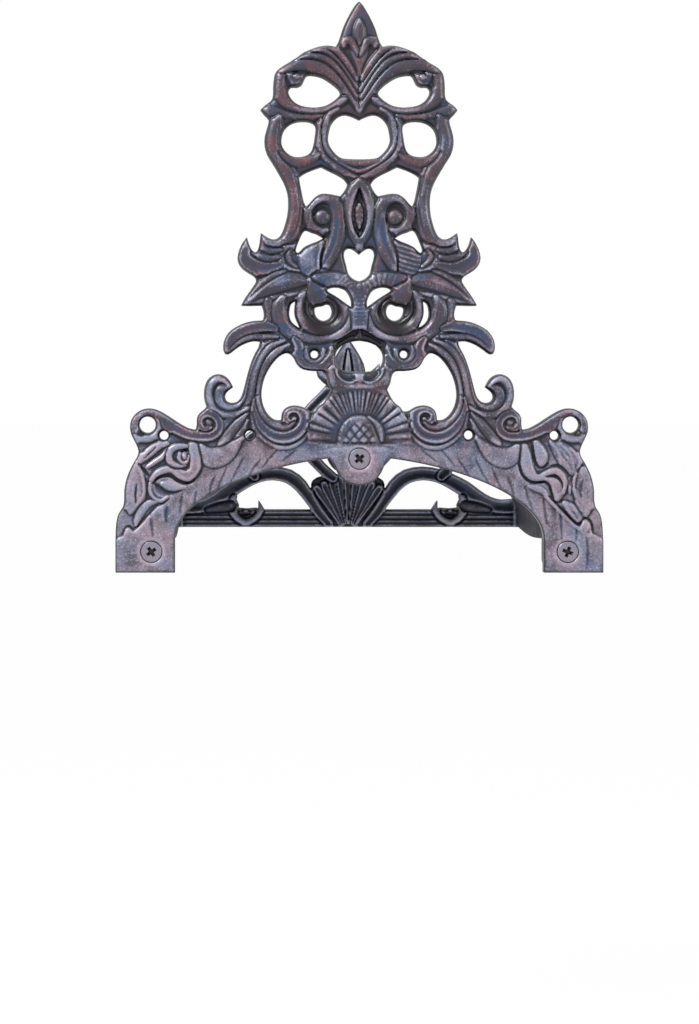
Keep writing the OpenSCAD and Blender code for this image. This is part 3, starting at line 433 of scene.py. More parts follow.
# A stroke is its name, the side where only one has it, its kind (raised: r round, m round and
# merged with what it crosses, g gutter, v crested, p flat, l lined; cut: c groove, d dent), its
# rise or depth in mm, and x, z and half width at its points.
UPPER_STROKES = """
under brow: r 2.2: 57.5 276.3 0.4, 53.5 275.8 2.4, 48 274 2.6, 40 272.6 1.6, 31 271.6 1.3, 23 272.4 1.2;
lid loop: r 2.8: 44 300.8 3, 47.4 296 3.3, 48 290 3.4, 46.4 284 3.4, 42 279 3, 35 276.2 2.1, 26 275.4 1.8,
    17.5 277 1.8, 11 280.4 1.8, 6.5 284.2 1;
lid knob: r 3.2: 42 298.5 1.5, 40.3 295.3 2.6, 37.4 294.2 3.6, 36.8 294 3.6;
brow low: r 3: 46 299 1.5, 41 302 3.4, 33 303.4 3.8, 25 302 3.7, 18 298.6 3.5, 11.8 293 3.1,
    6.4 286.6 2.6, 2.4 280.4 1.9, 0 275 1;
brow mid: r 3.1: 40 306.2 0.6, 33 308 1.5, 26.4 308 1.9, 20 306.2 2.1, 14.4 302.2 2.2, 9.2 296.4 2.1,
    4.8 289.8 2, 1 283 1.3;
brow upper: r 3.1: 38 309 0.5, 31 311.4 1.3, 24.6 311.9 1.6, 18.4 310.4 1.8, 12.8 306.4 1.9, 8 300.6 1.8,
    3.8 293.8 1.6, 0.4 287 1;
brow top: r 3.3: 34 313.6 0.5, 27 315.4 1.6, 20.4 315.2 2, 14.6 312 2.2, 9.6 306.8 2.1, 5 300.4 1.9,
    1.4 293.8 1.2;
finial wedge: m 2.9: 0 312 5, 0 306 3.4, 0 300 1.6, 0 296 0.5;
fleur drop: r 3: 0 315 1, 0 319 3, 0 323.4 3.6, 0 327.6 2, 0 330 0.4;
fleur bud: m 3.3: 0 320.6 1.2, 0 324 1.7, 0 326 0.8;
fleur lobe: r 2.9: 9.4 313.6 1, 8.4 316.6 2.2, 5.2 317 2.4, 2.8 313 1.8, 0.6 308 0.9;
frame: r 3.3: 47.5 272 1.5, 49.8 267 3.6, 50.8 260 4.2, 50.6 254 4.6, 47.8 248 4.6, 44.2 241.8 4.4,
    41.1 235.6 4.2, 39 229 3.8, 38.1 221 3.9, 38.5 213 4.2, 40.2 205.5 4.4, 43.6 199.6 4.4, 49.4 196.2 4,
    54.6 196.8 3.2, 57.4 199.4 1.6, 58.8 202.6 0.3;
frame line: c 0.9: 48 268 0.3, 48.4 260 0.6, 47.8 254 0.7, 44.8 247.6 0.7, 41 241.4 0.7, 38 235 0.7,
    36.4 229 0.6, 35.6 221 0.6, 36 213 0.6, 37.8 205 0.5, 40.6 200 0.3;
heart rim: r 2.8: 13 276.5 1, 17.5 273.6 1.3, 20 269 1.4, 21 263 1.5, 20.9 257 1.5, 18.9 251.8 1.6,
    15 247.4 1.6, 9.6 243.4 1.6, 4 240.4 1.5, 0 239.3 1.4;
heart outer: r 2.6: 22.6 270 0.8, 24.2 265 1.1, 24.2 259 1.3, 23.4 253 1.4, 20.8 247.8 1.5, 16 243.6 1.6,
    10 239.9 1.6, 4 236.6 1.5, 0 235.2 1.3;
heart sill: r 1.8: 12 246.2 0.6, 7 245 1.4, 3 243.8 1.9, 0.8 243.6 1.2;
side sill: r 2: 47.2 250.6 1, 43 246.4 1.9, 37.5 244 2.2, 32 244.6 2.2, 27 246.8 1.7, 23.8 249.4 0.8;
volute: r 3: 27.6 173.2 0.6, 24.8 177.6 2.6, 20.6 184 3.8, 16.6 191 4.3, 14 198 4.2, 12.6 205 4.1,
    12.2 211.6 3.9, 13.4 217.8 3.6, 16.8 222 3.3, 21.8 223.5 3.1, 26.8 221.4 3, 29.9 216.6 3,
    30.1 211 2.8, 27.6 206.4 2.4, 23.4 204 2, 19.4 204.2 1.2;
volute groove: c 0.6: 23.6 180 0.4, 19.6 187 1.2, 15.8 195 1.6, 13.8 203 1.7, 13.4 211 1.5,
    15.4 217.4 1.3, 20 220.4 1.1, 25.4 219 0.8, 27.8 215 0.4;
almond: r 3.3: 0 234.6 1, 0 230 4.6, 0 223 7.6, 0 214 8.8, 0 205 6.9, 0 198 3.6, 0 194 1;
almond rim: m 3.3: 0 230.4 0.6, 3.6 225.6 0.9, 5.4 219 1, 5.9 212.6 1, 4.7 205.4 0.9, 0 198.4 0.7;
almond slot: c 3.7: 0 228.6 0.6, 0 222.6 3.1, 0 213.4 4.7, 0 205.8 3.5, 0 200.4 0.6;
almond seed: c -1.3: 0.7 220.4 0.7, -0.8 217.4 2.2, 0.8 214.2 2.5, -0.7 211 2.5, 0.6 208 2, -0.2 205 0.8;
turned leaf: r 2.8: 25.4 172.6 1.4, 28.4 177.4 5.4, 29.6 183.4 6.6, 29.2 189 6.6, 27 193.6 5.2,
    23.4 196.6 1.8;
turned leaf fold: c 0.7: 22.8 178 0.3, 23 184 0.5, 22.6 190 0.5, 21.2 195 0.3;
turned leaf rim: left m 3.3: 24.2 177.6 0.4, 24.5 184 0.6, 24 190 0.6, 22.4 194.6 0.4;
turned leaf foot: left r 2.6: 21 179.6 1.6, 25.6 176.6 2.6, 30 173.6 1.2;
cup rim: l 3.1: 37.6 194.2 0.7, 42.2 194.2 1.6, 46.6 191.6 2.1, 48 187.2 2.4, 45.6 183 2.2, 41 180.6 1.9,
    36.4 179.6 1.2;
cup inner: r 2: 41 192.4 0.6, 42.6 188.6 1.2, 41 184.8 1.2, 37.4 182.2 0.8;
hook leaf: g 3: 47 183.4 1.6, 53 181.8 3.4, 60 181.9 4.2, 66 184.4 4.4, 69.1 189 3.8, 68.9 194.4 2.4,
    67.2 199.8 0.3;
hook leaf inner: r 2.4: 48.6 188.2 1.8, 54 187.6 2.4, 59.2 188.4 1.9, 62.6 190.4 0.5;
spur leaf: r 2.6: 47 192.4 1.4, 52 191.8 2, 56.4 193 1.8, 58.6 196.4 1.1, 59 201 0.4;
long leaf: v 3: 30.4 173.4 1.6, 37 174.6 4.2, 45 173.8 5.4, 53 170.6 5, 61 166.2 3.6, 66.6 162.2 1.9,
    70 159.8 0.3;
long leaf low: r 2: 36 166.6 0.8, 44 165.2 1.2, 52 163.6 1.3, 60 161.6 1.1, 67 160 0.6;
long leaf top: r 2.2: 44 180 0.8, 50 177.8 1.6, 56.4 173.8 1.6, 62 168.8 1.2, 66.4 164 0.6;
cheek outer: l 2.3: 54.4 162 2, 55 155.6 2.4, 53.4 149 2.4, 49.6 143.2 2, 45 139 1;
cheek: l 3.1: 45.6 164 1.8, 48 158.6 3.6, 47.6 152 4.6, 43.6 146 4.6, 37.4 141.6 3.6, 30 139.6 2.6,
    22.6 139.4 2.2, 15.6 141.6 2.3, 9.6 145.6 2.6, 5 150.6 2.9, 3.8 155 2.3, 3.7 159.4 1.6, 4.6 163.6 0.6;
eye ring: r 2.9: 30 168.4 1, 34.4 164.6 2.2, 36.2 158.6 2.8, 35 152 3, 30.7 147 3, 24.2 144.7 2.9,
    17.2 145.5 2.8, 11.7 149 2.6, 9.3 154.4 2.3, 10.6 160 2, 14.6 164.4 1.6, 20 167 1;
eye coil: m 2.6: 31 161.6 0.5, 31.2 156 0.9, 28.7 151.2 1.1, 24 148.8 1.1, 18.3 149.3 1.1, 14.5 152.6 1.1,
    13.9 157 1, 16 161 0.9, 20.4 163.6 0.5;
tongue tip: r 4.2: 25.4 165.8 6.1, 25.1 164.9 6.2;
tongue: m 4: 29.4 174.6 1.4, 27.8 171.6 3.4, 26.2 168 4.4;
nose band: r 3: 26 175.6 2.4, 20 175 4, 13.4 174.8 4.2, 8 172.4 4.2, 4.4 168 4, 2.4 162 3, 2.2 156 2.8,
    2.2 150 2.8, 2.2 147 2.6;
nose ribs: right c 0.5: 24 175.2 2.6, 18.6 175.4 3.6, 12.4 175 3.8, 8 172.6 3.9, 4.6 168.4 3.6;
nose ribs: left c 0.35: 13 174.8 3.4, 8.4 173 3.7, 5 169 3.9;
nose stem: m 3: 0 170 2, 0 166 3.4, 0 161 4, 0 155 4.3, 0 149.6 4.3, 0 146.4 2;
nose stem ribs: c 0.42: 0 169 2.4, 0 162 3.6, 0 155 4, 0 148.6 3.4;
chin stem: m 3.2: 0 145 1, 0 141 1.5, 0 137.4 1.8;
chin web: m 2.2: 12 135.6 0.8, 7 138.6 1.5, 3.4 140.6 0.8;
curl leaf: g 3: 50 145.6 1.6, 57 147 3.2, 64 146.2 3.8, 70.6 143.6 4, 75.8 139.6 3.8, 78.6 135.2 2.8,
    79.2 131.6 1;
curl leaf low: r 2.4: 49 140.6 1.2, 57 140.8 1.8, 64.6 140 1.9, 70.4 137.4 1.9, 74.8 133.8 1.5,
    77.4 131 0.6;
stem outer: r 2.4: 52 138 0.8, 58 134.6 1.5, 62 127.6 1.6, 64.8 119.6 1.6, 67 111 1.6, 69.2 103.6 1.5,
    73 100 1.2;
stem mid: r 2.8: 45 138.4 1, 52.4 135 1.8, 58 128.4 1.8, 61.4 120 1.9, 63.6 111 2, 65.6 103 1.8,
    68.6 97.4 1.4;
stem inner: r 2.4: 42 136 0.8, 48.6 132.8 1.4, 54.6 126.8 1.4, 58.2 119 1.4, 60 110.6 1.4, 60.6 103 1.4;
hook rim: r 3.2: 66.2 98.4 1.2, 71.2 95 2, 78 93.8 2.2, 84.4 95.4 2.4, 88.8 99.8 2.6, 90.2 106 2.7,
    88.8 112 2.8, 85 115.6 2.8, 80.8 115.2 2.4, 77.6 112.4 1.4, 75.6 110.6 0.4;
hook fold: m 2.5: 69.6 104 1.4, 73.2 100.2 2.4, 78 98.9 2.8, 82.6 101.2 3, 83.8 105.6 3, 82.2 109.4 2.4,
    78.8 110 1.2;
hook web: m 2.3: 73.6 94.8 0.8, 77.6 90.6 2.6, 81 86 2.4, 83 81.6 0.8;
drooping leaf: v 2.8: 67 95 0.8, 71 90.4 2.6, 76.4 83.6 3.4, 81.4 77.4 2.8, 84 74 0.9;
drooping strand: r 2.2: 66.6 91 0.6, 70.2 84 1.3, 75.6 77 1.6, 81 72.4 1.2;
lobe: r 2.6: 70 80.6 0.6, 74.4 75.4 3.2, 80.4 70.4 5.4, 87.2 68.4 6, 92 71 4.4, 94 75.4 1.4;
ear bar: g 3: 134.6 82.2 1.8, 134.6 88.6 2.4, 131.4 94 2.7, 126 95 2.8, 120.6 93 3, 114.4 89.2 3.2,
    108 85.4 3.2, 101.6 82.6 3, 95 81.2 2.6, 88.6 81.4 2.4, 84.2 84.4 2.3, 83.4 89.2 2.1, 86.2 93.4 2,
    90.8 94.8 1.9, 94.6 92.6 1.7, 95.2 88.4 1.5, 92.4 85.6 1.2, 88.8 86.4 0.8;
small volute eye: r 1.8: 89.6 89.4 1.9, 89.7 89.4 1.9;
ear rim: r 2.6: 133.6 80.8 1.6, 129.4 79.4 1.8, 124.4 79.8 1.8, 120.6 82.6 1.5, 119.4 86.6 1.3,
    120.6 91 1;
c scroll: g 3.4: 62.2 103 1, 62.4 96 2.4, 59.4 88.8 3.2, 53.6 83 3.4, 46.4 80.6 3.4, 39.2 82 3.3,
    34.2 86.6 3, 33 92.4 2.7, 35.6 96.8 2.4, 40 97.6 2, 43.6 95.2 1.8, 43.6 91.4 1.5, 40.8 89.6 1.2,
    38.6 91.6 0.9;
c scroll inner: l 2.6: 60.8 104.6 0.8, 59.8 98.8 1.4, 56.6 92.8 1.8, 51.6 88.4 2, 46.4 86.4 1.9,
    42 86.8 1.4, 38.8 89.4 0.8;
c scroll under: r 1.8: 64.6 95 0.6, 62.4 86.4 1, 56.6 79.4 1.2, 48.6 75 1.3, 41 75 1.2, 35 78.2 1,
    31 82.6 0.7;
small fan top: r 2.2: 18.6 86 0.6, 23 88.4 1.8, 27.4 90 1.8, 30 90.4 0.6;
small fan mid: r 2.2: 18 83.4 0.6, 23.6 84.6 1.8, 28.4 85.2 1.7, 31 85 0.6;
small fan low: r 2.2: 18 80.4 0.6, 23 80.4 1.7, 27.6 80 1.5, 30 79.4 0.6;
"""
# What is painted after the shell
LOWER_STROKES = """
crown outer: r 3.3: 15.4 125 1.2, 17.4 120 2.4, 16.4 115.4 2.8, 12.4 112.2 2.6, 6.4 110.8 2.2, 0 111.2 2;
crown bowl: d 0.5: 12.6 122 0.6, 10.4 117.4 2, 6.6 115.6 2.6, 2.6 116 1.4;
crown rib: m 2.8: 14.4 121.6 0.5, 13 117.4 0.8, 9.6 114.2 0.8, 5.4 113.2 0.7, 2 114.6 0.5;
crown knob: m 2.9: 0 119.4 1.8, 0 116 2.6, 0 112.6 2.2;
crown web: m 2.9: 17.6 108 2, 12 108.8 3, 6 109.6 3, 0 110.2 2.8;
moustache: g 3: 16.4 134 0.8, 16.8 129 2, 20.2 124.6 2.6, 26 122.8 2.8, 32 124.4 2.9, 35.6 129.2 2.9,
    36 135 2.6, 38.6 139.2 1.6;
moustache coil: l 2.2: 31.6 134.6 0.7, 32.2 130 1.2, 29.4 126.4 1.3, 24.8 126.2 1.3, 21.8 129 1.2,
    21.4 133 0.8;
left fold: left r 2.6: 114.2 76.6 0.8, 120 75.4 2.3, 126 70.9 2.7, 131 65.8 1;
left fold slit: left c 1: 121.2 74.9 0.4, 124.8 71.4 0.6, 128.8 67.7 0.3;
left fold low: left r 2.6: 114.4 74.3 0.6, 116.8 69.7 1.3, 121.4 66.3 1.4, 126.6 62.9 0.7;
left leaf: left r 2.7: 133.4 65.5 0.8, 132.9 59.5 4, 133.9 53.2 6, 133.8 45.2 6.6, 135.7 39.5 3.7,
    136.5 35.6 0.8;
left leaf rim: left m 3: 131.6 64 0.3, 129.6 57.6 0.7, 128.4 51.4 0.8, 128.8 46 0.8, 133 39.4 0.4;
left leaf groove: left c 0.8: 132.8 53 0.3, 133.4 47 0.9, 133.2 41.6 0.3;
left under leaf: left r 2.2: 119 42.6 0.5, 124.6 41.6 1.8, 129.4 37.6 2.6, 132.6 31.6 1.8, 133 28 0.5;
left swirl: left p 2.9: 99.2 75.4 2.6, 97.8 68 3.2, 98.2 61.2 3.4, 102 57.8 3.2, 106.6 58.9 2.8,
    111.2 61.6 2.1, 115.9 61.4 1.8, 121 58.9 1.6, 124 55 1;
left ring: left r 2.8: 103 75.6 1, 108.2 75.4 1.8, 112.2 73.2 2, 113.7 68.6 2, 111.7 65.2 2,
    107.6 63.8 1.7, 103.6 64.6 1;
left curl: left r 2.4: 107 71.5 0.5, 107.5 68 0.9, 105.3 65.5 0.9, 102.5 66.3 0.8, 101.6 69.7 0.4;
left curl well: left c 1.4: 106.8 72 0.4, 104.4 73 0.9, 102 72.6 0.5;
left bulb: left m 2.2: 104.3 69.4 1.2, 104.1 68.6 1.3;
left pool: left c 0.9: 121.4 52.6 1.2, 118 49.8 3.6, 112 50 4, 106 51.2 1.6;
left drop: left m 2.3: 117.7 53 1, 113.5 52.3 3, 109.4 51.4 2.6, 103.7 51 0.4;
left undercut: left c 1.2: 123.3 53.2 0.4, 120.4 56.4 0.7, 115.8 57.8 0.9, 111.7 57.2 0.9, 107.7 54.6 0.9,
    103.7 53.4 0.9, 100.2 54.2 0.8, 96.8 57.8 0.6, 94.4 61.8 0.4;
left ring low: left r 2.3: 124.7 53.6 0.6, 125 48.7 0.9, 122.8 45 0.9, 118.5 42.8 0.9, 114.4 45 0.5;
left notch: left c 1: 131.8 64.6 0.3, 128 60.9 0.8, 125.5 57.8 0.4;
right fan: right l 2.5: 115.4 77.6 2, 119.8 73.4 4.8, 124.4 68 6.2, 127.8 62.4 4.4, 129.4 59 1.4;
right strand: right m 2.7: 114.5 76.5 0.4, 117.6 73.5 0.9, 119.6 69.2 1, 120.1 64.9 0.5;
right strand: right m 2.7: 121.7 75.2 0.4, 125.2 71 0.9, 127.3 66.2 1, 127.6 61.6 0.4;
right strand: right m 2.6: 125.9 73.9 0.4, 129.4 70.1 0.8, 131.2 65.6 0.8, 130.3 61 0.4;
right leaf: right r 2.7: 132.7 61.9 1.09, 133.6 57 4.5, 134.1 51.6 5.95, 134.1 46.1 6.08, 134.7 41.3 4.98,
    135.4 36.1 1.82;
right leaf rim: right m 2.9: 129.2 59.2 0.36, 127.8 54.6 0.67, 127.7 49.8 0.67, 129 45.5 0.43;
right leaf groove: right d 0.6: 132.9 55.2 0.49, 131.8 49.8 2.07, 132.2 44 0.49;
right facet: right r 2: 125 56.7 0.49, 125.2 52.2 1.34, 125.4 47.6 0.49;
right bulb: right m 3.2: 105.3 77.6 1.7, 107 73.5 3.04, 108.4 69.2 3.65, 108.6 66.2 2.92, 108 64.3 1.22;
right bulb well: right c 0.95: 103.2 75.2 0.49, 104 69.2 0.79, 105.5 64.9 0.85, 108.5 62.8 0.79,
    112.1 65.2 0.61;
right ribbon: right r 3.1: 98.5 75.2 1.7, 99 69.8 3.16, 99.7 64.9 3.52, 101.4 60.1 3.16, 104.6 57 2.55,
    108.3 57 2.25, 112 59.1 2.07, 116.3 60.6 2, 119.9 58.7 2, 121.9 55.2 1.76, 122.2 51.6 1.46,
    121.4 47.6 0.85;
right web: right p 1.7: 101.1 51.7 0.49, 104.4 50.5 1.58, 108.5 49.2 1.82, 111.4 46.4 0.85;
right drop: right m 3: 109.8 55.7 0.73, 113.7 55.1 2.31, 116.9 52.2 3.65, 118.3 48.2 3.52,
    117.9 45.1 2.07, 118.1 43 0.49;
right drop line: right c 0.7: 110.7 57.3 0.36, 114.4 57.9 0.61, 118.3 56.9 0.61, 120.7 54 0.61,
    121 50.7 0.49;
right undercut: right c 1.2: 95.1 64.9 0.43, 97 58.3 0.67, 101.8 54.3 0.73, 106.9 53.9 0.73,
    110.7 54.3 0.73, 113.4 51.9 0.73, 114.3 48.2 0.61, 115.7 44.3 0.43;
right arc: right c 0.75: 114.1 64 0.36, 118.6 64 0.67, 122.3 61.7 0.67, 124.9 57 0.49, 125.3 52.2 0.3;
right hollow: right d 1: 116.2 41.6 0.6, 120.4 42.8 1.4, 124.9 42.7 0.6;
right palm: right r 1.9: 122.4 41.4 1.4, 127.4 37 4, 131 32.6 3.2, 133 30.4 1.2;
right ridge: right m 2.4: 122.9 39.4 0.4, 126.2 35.2 1, 129.9 30.8 0.5;
right ridge: right m 2.4: 125.8 40.8 0.4, 129.1 36.4 1, 132.1 31.4 0.5;
right ridge: right m 2.4: 129 42.5 0.4, 132.5 37.6 1.1, 135 33.5 0.5;
right knuckle: right m 2.4: 134.4 28.1 2.67, 134.7 27.5 2.67;
dent: right d 0.5: 88.5 57 0.85, 90.7 51.6 1.94, 92.3 45.2 0.73;
dent: right d 0.5: 98.6 51.3 0.85, 100.8 44.9 1.94, 103.3 37.3 0.73;
dent: right d 0.5: 109.6 44.3 0.73, 110.6 37.6 1.82, 111.8 29.1 0.73;
dent: right d 0.5: 119.7 36.4 0.73, 120.3 29.1 1.7, 120.5 18.8 0.73;
dent: right d 0.5: 129.3 26.7 0.61, 129.2 21.8 1.22, 128.6 15.7 0.49;
dent: right d 0.5: 135.2 21.2 0.61, 136.1 12.7 1.58, 135.1 2.4 0.61;
dent: left d 0.5: 124.8 35 0.8, 123.7 28.7 2.05, 122.8 21.9 1.14;
dent: left d 0.5: 114.5 40.1 0.68, 114.8 35 1.94, 115.1 30.2 0.8;
dent: left d 0.5: 105.4 47 0.68, 106.3 41.3 1.94, 106.9 35.6 0.8;
dent: left d 0.5: 97.2 48.7 0.68, 97.7 44.1 1.59, 98.3 39.8 0.8;
dent: left d 0.5: 86.1 57.8 0.57, 88.1 52.7 1.71, 89.2 47 0.57;
dent: d 0.5: 69 69 0.5, 72.4 61.6 1.6, 77 53.6 0.5;
dent: d 0.5: 58.6 68 0.5, 62.6 62.6 1.4, 66 57 0.5;
dent: d 0.5: 79 63 0.5, 81.6 56.6 1.5, 84.6 49.6 0.5;
dent: d 0.5: 49 73 0.5, 53.6 68 1.3, 57.4 63 0.5;
dent: d 0.5: 37.4 73 0.5, 42 69.6 1.2, 46.6 66 0.5;
foot edge: left c 0.85: 113.4 44.7 0.3, 117 41.3 0.6, 120.6 39.6 0.6, 124.6 35.6 0.6, 128.7 31 0.6,
    133.2 26.5 0.7, 135 25.6 0.7, 137.2 27.6 0.7, 139.5 26.5 0.6, 141.3 21.9 0.3;
foot ridge: right m 2.6: 111 45.5 0.36, 115.6 40.9 0.61, 119.7 36.6 0.61, 125 31.7 0.61, 130.3 26.9 0.61,
    136.8 21.8 0.36;
foot edge: right c 1.05: 113.4 45.4 0.36, 118.6 39.6 0.61, 123.8 34.1 0.73, 128.4 29.3 0.79,
    130.9 28.5 0.73, 132.9 31.5 0.67, 134.8 32.7 0.67, 137.1 31.2 0.67, 138.6 27.9 0.61, 138.8 24.2 0.36;
core wing: right r 2.2: 6 92.6 0.5, 10 88.6 1.7, 12.2 83.6 2, 13.4 78.6 0.7;
core wing line: right c 0.4: 7.6 89.4 0.3, 10 85 0.45, 12 80 0.3;
base line: c 0.8: 0 77.3 0.45, 5 77.3 0.45, 9.6 77.4 0.3;
"""
NAMED_SIDES = {"left": (-1,), "right": (1,)}
# Ribs by stroke and side: pitch, depth and lean
RIBS = {("turned leaf", 1): (2.9, 0.8, 0.3), ("turned leaf foot", -1): (2.5, 0.7, None),
        ("nose ribs", 1): (3.3, 1.0, None), ("nose ribs", -1): (2.3, 1.0, None),
        ("nose stem ribs", 1): (2.3, 1.0, 0.0)}
# Knobs: x and z, radius, depth of the hollow beside it, height, and where the hollow's middle lies
KNOBS = [((-22.2, 211.8), 5.0, 1.2, 2.2, (-1.3, 1.6)), ((21.4, 211.8), 5.0, 1.2, 2.2, (-1.3, 1.6)),
         ((-37.4, 295.4), 2.7, 0.9, 2.3, (-0.9, 0.3)), ((37.8, 295), 2.9, 0.9, 2.3, (1, 0.2))]
# Middles of a ring window and of the bulb over it, where the zones round them fade (the lower
# ground, the painted shade at the window's edge and in its socket, and the bulb kept free of it),
# and the underside of the stem between them, which is sunk and painted with shade
RING_WINDOW = (21.6, 155)
RING_BULB = (25.1, 165.2)
RING_ZONE, RING_EDGE_ZONE, SOCKET_ZONE = (8.5, 15.5), (6.5, 9.5), (12, 14)
BULB_ZONE = (5.5, 7.5)
UNDER_STEM_X, UNDER_STEM_FROM = (12.5, 18), 130
FRONT_GROUND, UNDER_STEM_GROUND = 6.8, 4.0
PILLOW_REACH, PILLOW_DROP, RING_DROP = 4.5, 3.0, 1.6
CHIN = [(0, 145.4), (2.5, 144.9), (5, 143.6), (10, 140.4), (16, 137.6), (20, 137)]
# The step in each foot, from its inner side outwards, and where it begins and turns sharp
STEP_FROM, STEP_SHARP_FROM = 100, 117
LEFT_STEP = [(110, 46), (113.4, 44.7), (117, 41.3), (120.6, 39.6), (124.6, 35.6), (128.7, 31),
             (133.2, 26.5), (135, 25.6), (137.2, 27.6), (139.5, 26.5), (141.3, 21.9), (146, 20)]
RIGHT_STEP = [(110, 46), (111, 46), (118.6, 39.4), (123.8, 34), (128.5, 29.1), (131.3, 28.6),
              (134.7, 32.7), (137.7, 30.3), (138.9, 23.6), (146, 20)]
STEP_HEIGHT, SOFT_STEP = 0.9, (46, 26)
TOE_HEIGHT, TOE = 0.8, (30, 21)
# The swelling round the crown screw: its flat middle, its edge, and where it sinks into the shell
TAB_FLAT_R, TAB_R = 9, 24
TAB_FOOT, TAB_TOP = 73, 77
# Where the stouter lower part of the casting fades into the upper part
LOW_PART = (72, 88)
# The shell's dish, and the flutes between its middle line and each turn in degrees
SHELL_REACH, SHELL_GROUND = 31, 6.4
DISH_HEIGHT, DISH_RISE = 6.1, 1.5
FLUTE_TURNS, FLUTE_COUNTS = (0, 36, 90), (0, 6.5, 11.5)
FLUTE_HEIGHT = 1.4
LEDGE_R, LEDGE_W, LEDGE_HEIGHT = 27.2, 1.1, 0.5
# Its core: half width, half height, how far it hangs, and its hatching and the beads on its rim
CORE_W, CORE_H, CORE_DROP = 12.9, 16.4, 1.5
CORE_TOP, CORE_FALL = 8.6, 2.2
HATCH_PITCH, HATCH_LEAN = 4.2, 0.7
HATCH_W, HATCH_DEPTH = 0.6, 0.75
BEAD_RIM, BEAD_W, BEAD_HEIGHT = 0.93, 0.05, 0.35
# Where the finish is bluer (above 0) or rustier (below 0): x, z, reach and strength
FINISH_DRIFTS = [
    (1, 332, 7, 0.6), (-53, 275, 6, 0.9), (53, 275, 6, 1), (-40, 272, 5, 0.7), (20, 300, 8, 0.6),
    (9, 290, 6, 0.6), (50, 259, 9, 1), (40, 214, 11, 0.9), (-22, 262, 6, 0.8), (-18, 251, 5, 0.8),
    (23, 258, 6, 0.8), (-33, 244, 6, -0.9), (28, 244, 6, -0.8), (0, 245, 6, -0.9), (-23, 218, 6, 0.8),
    (18, 219, 6, 0.8), (14, 200, 7, 0.9), (-15, 206, 6, 0.5), (-29, 187, 9, 1), (28, 187, 9, -1),
    (-14, 175, 7, 1), (0, 160, 10, 1), (-47, 174, 9, 0.8), (44, 171, 8, -0.8), (37, 180, 6, 0.8),
    (0, 155, 8, 0.5), (-26, 167, 7, 0.7), (25, 167, 7, 0.3), (-22, 147, 7, -1), (22, 147, 7, -0.6),
    (-25, 147, 8, -1), (-36, 158, 5, -0.8), (12, 153, 5, -0.5), (37, 138, 7, -1), (-43, 139, 6, 0.6),
    (-24, 127, 5, 0.8), (30, 128, 6, 0.8), (-19, 119, 5, -0.7), (-6, 116, 4, 1), (8, 115, 4, 1),
    (0, 113, 3, -1), (-27, 80, 6, -1), (-14, 86, 6, 0.8), (16, 88, 7, 0.9), (27, 80, 6, -1),
    (-84, 104, 6, 0.9), (-66, 97, 5, -0.7), (-52, 84, 7, 0.8), (-54, 77, 6, -0.8), (-78, 89, 5, 0.6),
    (-105, 82, 9, -0.7), (-6, 67, 6, 0.9), (14, 70, 6, 0.8), (2, 57, 10, -0.9), (-60, 72, 6, -0.8)]
# Where painted light (above 0) or painted shade (below 0) is laid on it, in the same way
PAINTED_LIGHT_AND_SHADE_SPOTS = [
    (-29, 186, 9, 1), (28, 187, 8, 0.75), (-13, 175, 6, 0.7), (12, 175, 6, 0.5), (0, 160, 7, 0.35),
    (0, 149, 7, 0.4), (-21, 152, 11, -0.3), (21, 152, 11, -0.3), (-47, 174, 8, 0.6), (46, 171, 9, 0.65),
    (-13, 142, 6, 0.5), (13, 142, 6, 0.5), (-38, 140, 7, 0.4), (38, 140, 7, 0.5), (50, 258, 7, 0.4),
    (39, 214, 8, 0.4), (-16, 206, 6, 0.35), (14, 202, 7, 0.45), (-84, 100, 8, 0.5), (-52, 82, 8, 0.4),
    (-22, 92, 10, 0.75), (52, 82, 8, 0.3), (22, 92, 10, 0.75), (0, 96, 9, 0.6), (0, 112, 9, 0.45),
    (0, 83, 7, 0.5)]


def paint_all(field, table):
    """Paints a table of strokes, each on the sides that it names or else on both. One that ends
    on the centre line runs on into its mirror image."""
    for row in table.split(";")[:-1]:
        name, style, places = row.split(":")
        name = name.strip()
        *side, kind, rise = style.split()
        points = [[float(v) for v in place.split()] for place in places.split(",")]
        sides = NAMED_SIDES[side[0]] if side else (-1, 1)
        if not side and points[-1][0] == 0:
            sides = (1,)
            if any(x for x, z, half in points):
                points += [[-x, z, half] for x, z, half in points[-2::-1]]
        for s in sides:
            drawn = [(s * x, z, half) for x, z, half in points]
            field.paint(kind, float(rise), drawn, RIBS.get((name, s)))


def knob(field, place, radius, drop, top, hollow):
    """Dome with a hollow beside it."""
    rho = np.hypot(field.x - place[0], field.z - place[1])
    off = np.hypot(field.x - place[0] - hollow[0], field.z - place[1] - hollow[1])
    well = field.height - drop * (1 - smoothstep(0.75 * radius, 1.45 * radius, off))
    dome = field.ground - drop + (top + drop) * np.sqrt(np.clip(1 - (rho / radius) ** 2, 0, 1))
    field.height = np.where(rho < radius, np.maximum(dome, well), well)


